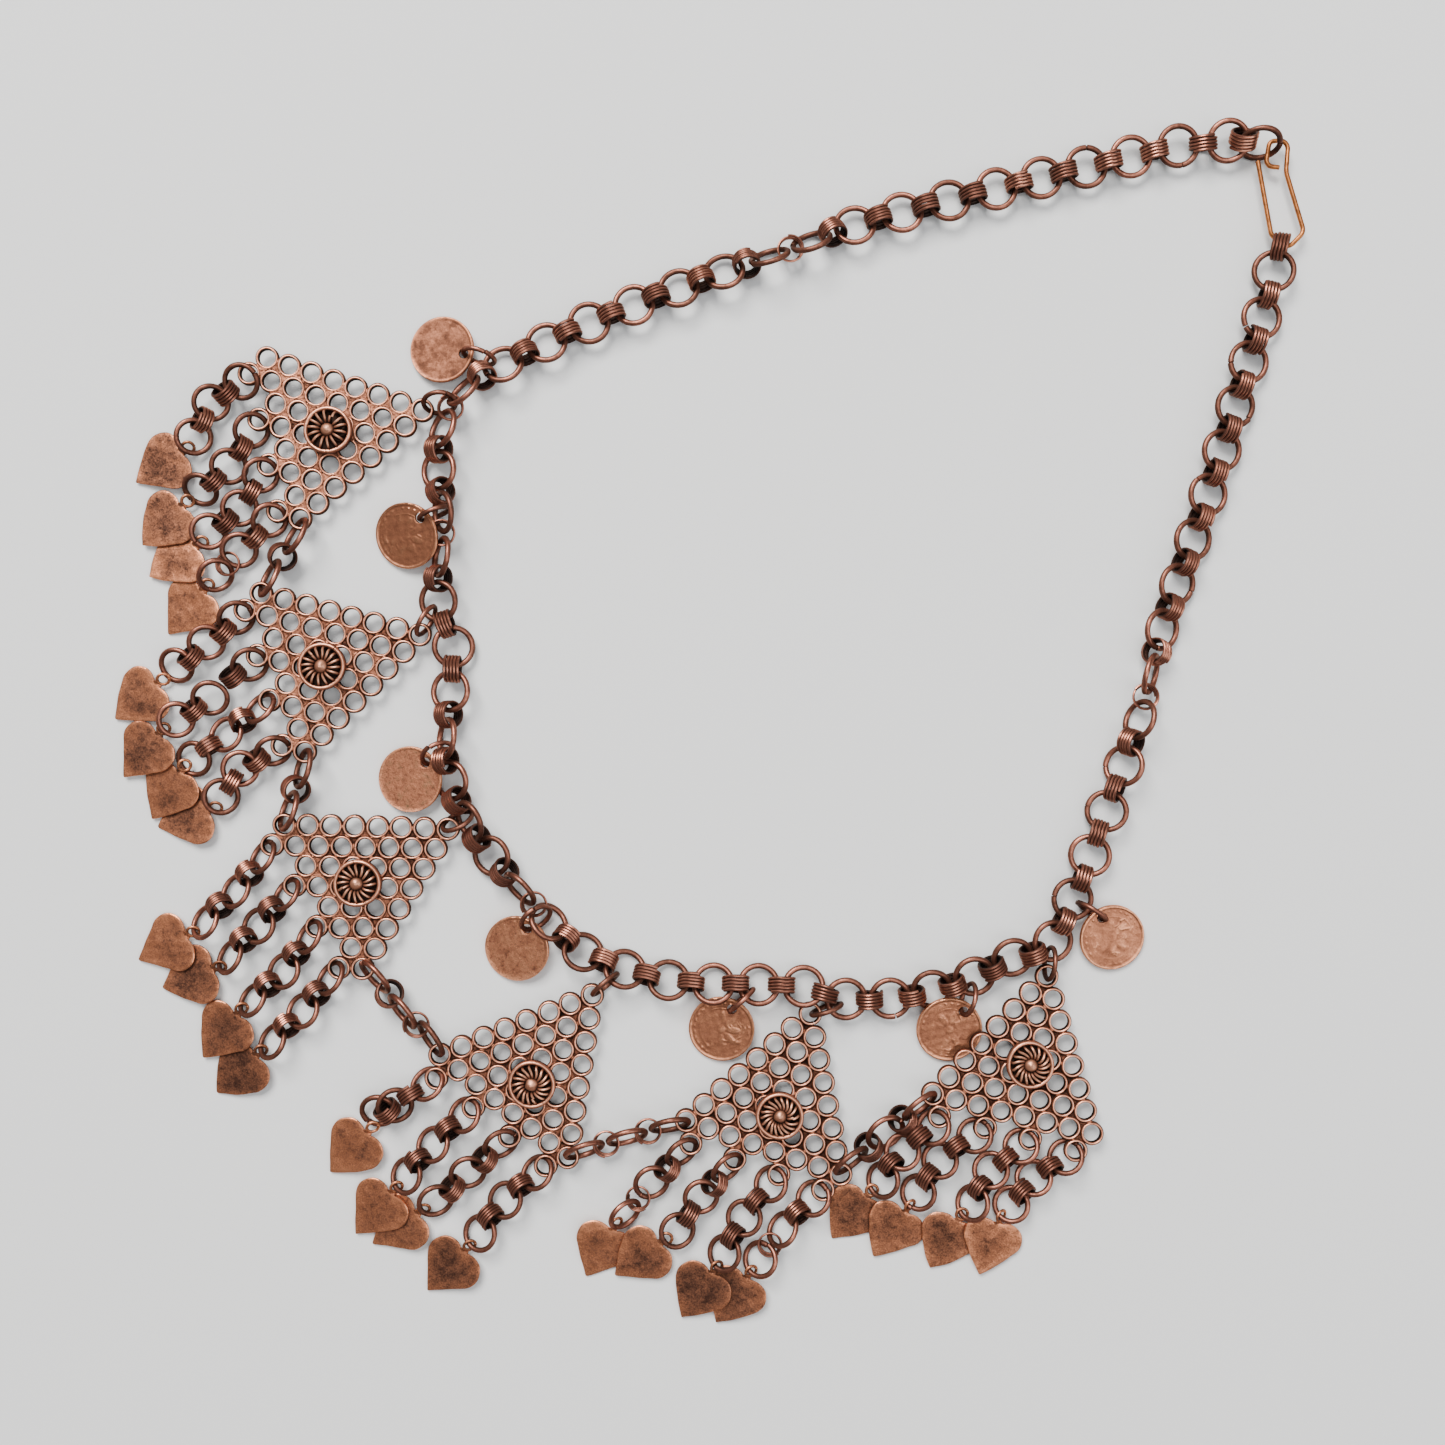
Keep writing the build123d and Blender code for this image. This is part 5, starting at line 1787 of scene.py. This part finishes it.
@dataclass
class Coin:
    """Pierced coin with a worn rosette.

    Attributes:
        node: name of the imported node.
        seed: seed of its own unevenness.
        relief: height of the relief in millimetres.
        finish: its finish.
        fine_grid: steps round and from hole to rim, where the relief stands out.
        plain_grid: the same for a coin that is worn flat.
    """

    node: str
    seed: int
    relief: float
    finish: CopperFinish
    fine_grid: tuple[int, int] = (176, 56)
    plain_grid: tuple[int, int] = (110, 24)
    across: float = 15.0
    thick: float = 0.9
    rim: float = 0.55
    rim_rise: float = 0.13
    hole: float = 2.3
    hole_place: float = 5.35
    petals: int = 8
    beads: int = 28
    stroke_count: int = 26

    def __post_init__(self) -> None:
        """Reads the coin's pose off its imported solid."""
        points, _ = SolidReader.points(self.node)
        middle, directions = SolidReader.axes(points)
        normal = directions[2]
        pose = Pose.facing(middle, normal, directions[0])
        local = (points - middle) @ pose.axes.T
        centre = (local.max(0) + local.min(0)) / 2
        for _ in range(20):
            away = local[:, :2] - centre[:2]
            far = np.linalg.norm(away, axis=1)
            rim = far > self.across / 2 - 0.05
            if rim.sum() < 10:
                break
            unit = away[rim] / far[rim][:, None]
            error = far[rim] - self.across / 2
            centre[:2] += np.linalg.lstsq(unit, error, rcond=None)[0]
        low = local[:, 2].min()
        flat = local[:, :2] - centre[:2]
        best, heading = -1, 0.0
        for angle in np.arange(0, 2 * pi, radians(0.5)):
            spot = self.hole_place * np.array([cos(angle), sin(angle)])
            fits = int((np.abs(np.linalg.norm(flat - spot, axis=1) - self.hole / 2) < 0.03).sum())
            if fits > best:
                best, heading = fits, angle
        origin = pose.out(np.array([centre[0], centre[1], low]))
        along = np.array([cos(heading), sin(heading), 0.0]) @ pose.axes
        self.pose = Pose.facing(origin, normal, along)
        self.rng = np.random.default_rng(self.seed)

    def height(self, flat: np.ndarray) -> np.ndarray:
        """Height of the upper face over the field.

        Args:
            flat: places on the coin, in its own frame.

        Returns:
            The height at each place in millimetres.
        """
        x, y = flat[..., 0], flat[..., 1]
        far, turn = np.hypot(x, y), np.arctan2(y, x)
        edge = self.across / 2
        rim = np.clip((far - (edge - self.rim - 0.12)) / 0.24, 0, 1) * self.rim_rise
        petal_at = (turn * self.petals / (2 * pi)) % 1 - 0.5
        long, wide = (far - edge * 0.36) / (edge * 0.22), petal_at * 2 * pi / self.petals * far / (edge * 0.1)
        petals = np.clip(1.15 - np.hypot(long, wide), 0, 0.35) / 0.35
        between = np.clip(1 - np.abs(far - edge * 0.66) / 0.16, 0, 1) * 0.8
        knob = np.clip(1.3 - far / (edge * 0.11), 0, 0.4) / 0.4
        bead_at = ((turn * self.beads / (2 * pi)) % 1 - 0.5) * 2 * pi / self.beads * far
        beads = np.clip(1.2 - np.hypot(bead_at, far - (edge - self.rim * 2.3)) / 0.27, 0, 0.6) / 0.6
        phase = np.random.default_rng(self.seed).uniform(0, 6, 6)
        rubbed = np.clip(0.55 + 0.75 * np.sin(x * 0.55 + phase[0]) * np.cos(y * 0.6 + phase[1]), 0.05, 1.1)
        lumps = 0.02 * np.sin(x * 2.1 + phase[2]) * np.sin(y * 2.4 + phase[3])
        figure = np.maximum.reduce([petals * 0.6, between * 0.5, knob, beads, self.strokes(flat)])
        return rim + figure * rubbed * self.relief + lumps

    def strokes(self, flat: np.ndarray) -> np.ndarray:
        """Short curved strokes and dots of a worn ornament.

        Args:
            flat: places on the coin, in its own frame.

        Returns:
            Their height from 0 to 1 at each place.
        """
        rng = np.random.default_rng(self.seed + 50)
        spots = []
        for _ in range(self.stroke_count):
            far, turn = rng.uniform(1.2, self.across * 0.36), rng.uniform(0, 2 * pi)
            bend, heading, length = rng.uniform(-1.6, 1.6), rng.uniform(0, 2 * pi), rng.uniform(0.2, 1.7)
            share = np.linspace(-0.5, 0.5, 9)
            heading = heading + bend * share
            step = length / 8
            along = np.cumsum(np.stack([np.cos(heading), np.sin(heading)], 1) * step, 0)
            spots.append(along - along.mean(0) + far * np.array([cos(turn), sin(turn)]))
        gap = np.full(flat.shape[:-1], 9.0)
        for spot in np.concatenate(spots):
            gap = np.minimum(gap, np.hypot(flat[..., 0] - spot[0], flat[..., 1] - spot[1]))
        return np.clip(1.35 - gap / 0.17, 0, 1)

    def build(self) -> bpy.types.Object:
        """Makes the coin with its hole.

        Returns:
            The piece, which stands for its node.
        """
        surface = Surface()
        tone = float(self.rng.uniform())
        steps, count = self.fine_grid if self.relief > 0.05 else self.plain_grid
        turn = angles(steps)
        way = np.stack([np.cos(turn), np.sin(turn)], 1)
        hole = np.array([self.hole_place, 0.0])
        edge = self.across / 2
        dot = way @ hole
        reach = -dot + np.sqrt(dot**2 - hole @ hole + (edge - 0.1) ** 2)
        share = np.linspace(0, 1, count)
        start = self.hole / 2 + 0.1
        far = start + share[:, None] * (reach - start)
        flat = hole + far[..., None] * way
        up = self.thick + self.height(flat)
        top = np.concatenate([flat, up[..., None]], -1)
        rise = np.clip((up - self.thick) / max(self.relief, self.rim_rise), 0, 1)
        wear = 0.40 + 0.36 * rise + 0.1 * (share[:, None] > 0.97)
        mark = surface.mark()
        upper = surface.grid(self.pose.out(top), tone, wear)
        rim = edge * flat[-1] / np.linalg.norm(flat[-1], axis=1)[:, None]
        start = self.hole / 2 + 0.08
        under = [hole + (start + share * (reach - start))[:, None] * way for share in (0.985, 0.6, 0.2)]
        bore = hole + way * (self.hole / 2)
        levels = [(rim, self.thick + 0.02), (rim, 0.1), *((flat, 0.0) for flat in under),
                  (bore, 0.08), (bore, self.thick - 0.05)]
        rest = np.array([np.column_stack([flat, np.full(steps, z)]) for flat, z in levels])
        wears = np.array([0.72, 0.5, 0.45, 0.4, 0.4, 0.25, 0.35])[:, None] + np.zeros(steps)
        numbers = surface.grid(self.pose.out(rest), tone, wears)
        for near, after in ((upper[-1], numbers[0]), (numbers[-1], upper[0])):
            surface.fours.append(np.stack([near, after, np.roll(after, -1), np.roll(near, -1)], -1))
        surface.turn_out(mark)
        return dress(surface.build(self.node + "_disc", 50), self.finish, self.node)


@dataclass
class DropPlan:
    """How one drop chain lies.

    Attributes:
        bend: picture point of its middle ring.
        rolls: roll of each link in degrees from the plate on; a positive roll lifts the left side.
        letters: its links from the plate, R a ring, C a coil and T a thin ring.
    """

    bend: Pair
    rolls: tuple[float, ...]
    letters: str = "RCRCR"


DROPS: tuple[tuple[DropPlan, ...], ...] = (
    (DropPlan((211, 404), (-20, -40, -22, -40, -22)), DropPlan((229, 467), (-18, -38, -22, -38, -18)),
     DropPlan((240, 509), (-18, -25, -18, -38, -18)), DropPlan((239, 552), (-40, -38, -20, 0, -55), "RCRTR")),
    (DropPlan((209, 641), (-18, -38, -25, -38, -18)), DropPlan((213, 695), (-20, -38, -18, -38, -20)),
     DropPlan((227, 734), (50, 38, 25, 10, -20)), DropPlan((242, 768), (-45, -38, -12, -15, -18))),
    (DropPlan((238, 890), (55, 42, 35, 42, 55)), DropPlan((259, 925), (55, 42, 20, 42, 55)),
     DropPlan((284, 971), (55, 42, 22, 42, 55)), DropPlan((303, 1011), (55, 42, 25, 42, 52))),
    (DropPlan((394, 1105), (45, 15, -10, -30, -15)), DropPlan((433, 1144), (35, 35, 30, 38, 30)),
     DropPlan((469, 1172), (-40, -38, -20, -35, -30)), DropPlan((506, 1198), (45, 38, 20, 38, 22))),
    (DropPlan((651, 1183), (-50, -40, -18, 0, -60), "RCRTR"),
     DropPlan((701, 1197), (-52, -42, -15, -10, -15)), DropPlan((743, 1218), (25, 32, 12, 35, 30)),
     DropPlan((781, 1229), (32, 40, 60, 0, 35), "RCRTR")),
    (DropPlan((901, 1147), (35, 40, 20, 40, 25)), DropPlan((939, 1160), (20, 35, 15, 35, 22)),
     DropPlan((990, 1172), (35, 30, 18, 38, 35)), DropPlan((1034, 1178), (25, 38, 25, 38, 20))),
)

# Hearts whose eye lies in the sheet's plane, as plate and heart, and the twist of these and the others.
FLAT_EYES = ((5, 2), (6, 1), (6, 3))
FLAT_TWIST = 6.0
EYE_TWIST = 38.0
LETTERS = {"R": LinkKind.RING, "C": LinkKind.COIL, "T": LinkKind.THIN}


@dataclass
class DropChain:
    """Short chain from a plate's hanging ring to a heart's eye.

    Attributes:
        plate: the plate that it hangs from.
        place: number of the hanging ring.
        heart: the heart at its end.
        plan: how it lies.
        first: distance of the first ring's middle from the hanging ring's, in millimetres.
        last: distance of the last ring's middle from the eye, in millimetres.
        level: height of the links in millimetres.
    """

    plate: TrianglePlate
    place: int
    heart: Heart
    plan: DropPlan
    first: float = 2.6
    last: float = 3.2
    level: float = 2.9

    def lay(self) -> list[Link]:
        """Lays the links before they settle.

        Returns:
            The links from the plate to the heart.
        """
        x, y = self.plate.hanging[self.place]
        start = self.plate.pose.out(np.array([x, y, self.plate.height / 2]))
        eye = self.heart.eye_pose.origin
        bend = VIEW.spot(*self.plan.bend, self.level)
        first = start + unit_vector(bend - start) * self.first
        last = eye + unit_vector(bend - eye) * self.last
        middles = [first, (first + bend) / 2, bend, (bend + last) / 2, last]
        links = []
        for n, (letter, roll) in enumerate(zip(self.plan.letters, self.plan.rolls)):
            before = middles[n - 1] if n else start
            after = middles[n + 1] if n + 1 < len(middles) else eye
            along = unit_vector((after - before) * np.array([1.0, 1.0, 0.3]))
            left = unit_vector(np.cross(UP, along))
            rise = np.cross(along, left)
            roll = 0.0 if letter == "T" else radians(roll)
            facing = rise * cos(roll) - left * sin(roll)
            kind = LETTERS[letter]
            normal = np.cross(facing, along) if kind is LinkKind.COIL else facing
            links.append(Link(kind, Pose.facing(middles[n].copy(), normal, along), DROP_SIZES[kind]))
        return links

    @staticmethod
    def loose(link: Link, held: bool) -> Loose:
        """A link as a piece that can settle.

        Args:
            link: the link.
            held: whether it stays where it is.

        Returns:
            The piece, which shares the link's pose.
        """
        size = link.size
        turns = COIL_TURNS if link.kind is LinkKind.COIL else 1
        circles = [(size.middle, (n - (turns - 1) / 2) * size.pitch) for n in range(turns)]
        return Loose(link.pose, circles, size.wire / 2, held)


@dataclass
class DropChains:
    """All drop chains of the necklace, which settle together.

    Attributes:
        plates: the plates.
        hearts: the hearts, four on each plate.
        maker: who makes the links.
        standing: links of the other chains, which stay where they are.
    """

    plates: list[TrianglePlate]
    hearts: list[list[Heart]]
    maker: LinkMaker
    standing: list[Link]

    def build(self) -> list[bpy.types.Object]:
        """Lays and settles the chains and makes their links.

        Returns:
            The pieces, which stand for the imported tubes.
        """
        chains = [[DropChain(plate, n, hearts[n], plans[n]).lay() for n in range(4)]
                  for plate, hearts, plans in zip(self.plates, self.hearts, DROPS)]
        held = [piece for plate in self.plates for piece in plate.rings()]
        held += [piece for row in self.hearts for heart in row for piece in heart.body()]
        held += [DropChain.loose(link, True) for link in self.standing]
        free = [DropChain.loose(link, False) for plate in chains for chain in plate for link in chain]
        rounds, worst = Settler().run(free + held)
        log.info("drop chains settled in %d rounds, %.3f mm left to part", rounds, worst)
        pieces = []
        for plate, rows in zip(self.plates, chains):
            links = [link for chain in rows for link in chain]
            pieces += self.maker.pieces(f"drop_chains_{plate.number}", links)
        return pieces


@dataclass
class Hook:
    """The clasp's hook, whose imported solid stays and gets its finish."""

    node: str = "clasp_hook"

    def build(self) -> bpy.types.Object:
        """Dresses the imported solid.

        Returns:
            The solid.
        """
        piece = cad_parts[self.node]
        material = HOOK_FINISH.material()
        piece.data.materials.clear()
        piece.data.materials.append(material)
        return piece


@dataclass
class Studio:
    """Pale floor, soft lights and the camera over the necklace.

    Attributes:
        floor_size: side of the floor in metres.
        floor_grey: brightness of the floor.
        sensor: width of the camera's sensor in millimetres.
        picture: side of the photographed picture in picture units.
    """

    floor_size: float = 6.0
    floor_grey: float = 0.78
    sensor: float = 36.0
    picture: float = 1445.0

    def floor(self) -> None:
        """Makes the plain floor."""
        surface = Surface()
        half = self.floor_size / 2 / MM
        side = np.linspace(-half, half, 3)
        grid = np.stack([*np.meshgrid(side, side, indexing="ij"), np.full((3, 3), -0.02)], -1)
        surface.grid(grid, 0.5, 0.5, around=False)
        floor = surface.build("floor")
        material = bpy.data.materials.new("pale_floor")
        material.use_nodes = True
        shader = material.node_tree.nodes["Principled BSDF"]
        shader.inputs["Base Color"].default_value = (self.floor_grey, self.floor_grey, self.floor_grey, 1)
        shader.inputs["Roughness"].default_value = 0.85
        shader.inputs["Specular IOR Level"].default_value = 0.2
        floor.data.materials.append(material)

    @staticmethod
    def lamp(name: str, place: tuple[float, float, float], power: float, size: float,
             warmth: Colour) -> None:
        """Makes a soft box that points at the necklace.

        Args:
            name: name of the lamp.
            place: where it is, in metres.
            power: its power in watts.
            size: side of the box in metres.
            warmth: its colour.
        """
        data = bpy.data.lights.new(name, "AREA")
        data.energy, data.size, data.color = power, size, warmth
        lamp = bpy.data.objects.new(name, data)
        lamp.location = place
        lamp.rotation_euler = (-Vector(place)).to_track_quat("-Z", "Y").to_euler()
        lamp.visible_camera = False
        bpy.context.scene.collection.objects.link(lamp)

    def lights(self) -> None:
        """Sets the soft lights and the even sky."""
        self.lamp("key_box", (-0.55, 1.35, 1.75), 96.0, 1.2, (1.0, 0.985, 0.96))
        self.lamp("top_box", (0.35, -0.15, 1.6), 12.0, 1.2, (1.0, 1.0, 1.0))
        self.lamp("fill_box", (1.6, -0.6, 1.4), 13.0, 1.2, (0.95, 0.98, 1.0))
        world = bpy.data.worlds.new("even_sky")
        world.use_nodes = True
        back = world.node_tree.nodes["Background"]
        back.inputs["Color"].default_value = (0.82, 0.86, 0.9, 1)
        back.inputs["Strength"].default_value = 0.2
        bpy.context.scene.world = world

    def camera(self) -> None:
        """Sets the camera straight over the photographed view's middle."""
        data = bpy.data.cameras.new("overhead")
        data.sensor_width = self.sensor
        data.lens = self.sensor * VIEW.height / (self.picture * VIEW.unit)
        data.clip_start, data.clip_end = 0.01, 20.0
        camera = bpy.data.objects.new("overhead", data)
        camera.location = (VIEW.shift[0] * MM, VIEW.shift[1] * MM, VIEW.height * MM)
        bpy.context.scene.collection.objects.link(camera)
        bpy.context.scene.camera = camera

    def build(self) -> None:
        """Sets the stage."""
        self.floor()
        self.lights()
        self.camera()


def report(pieces: list[bpy.types.Object]) -> None:
    """Logs each piece with its number of faces."""
    for piece in pieces:
        log.info("%s: %d faces", piece.name, len(piece.data.polygons))


def main() -> None:
    """Builds the necklace piece by piece and sets the stage."""
    logging.basicConfig(level=logging.INFO, format="%(name)s %(message)s")
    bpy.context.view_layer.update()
    studio = Studio()
    studio.build()
    maker = LinkMaker()
    chains = [Chain(node, maker) for node in (
        "neck_chain_left", "neck_chain_right", *(f"link_chain_{n}" for n in range(1, 6)), "plate_rings",
        "coin_rings")]
    for chain in chains:
        report(chain.build())
    plates = [TrianglePlate(n, place) for n, place in enumerate(PLATES, 1)]
    for plate in plates:
        report(plate.build())
    hearts = [[Heart(f"heart_{p}_{n}", p * 10 + n, FLAT_TWIST if (p, n) in FLAT_EYES else EYE_TWIST)
               for n in range(1, 5)] for p in range(1, 7)]
    for row in hearts:
        report([heart.build() for heart in row])
    coins = [Coin(f"coin_{n}", n, relief, finish) for n, (relief, finish) in enumerate((
        (0.04, DULL_FINISH), (0.12, COIN_FINISH), (0.03, BLOOM_FINISH), (0.05, SPECKLED_FINISH),
        (0.13, COIN_FINISH), (0.12, COIN_FINISH), (0.11, COIN_FINISH)), 1)]
    report([coin.build() for coin in coins])
    standing = [link for chain in chains for link in chain.links]
    report(DropChains(plates, hearts, maker, standing).build())
    report([Hook().build()])


if __name__ == "__main__":
    main()
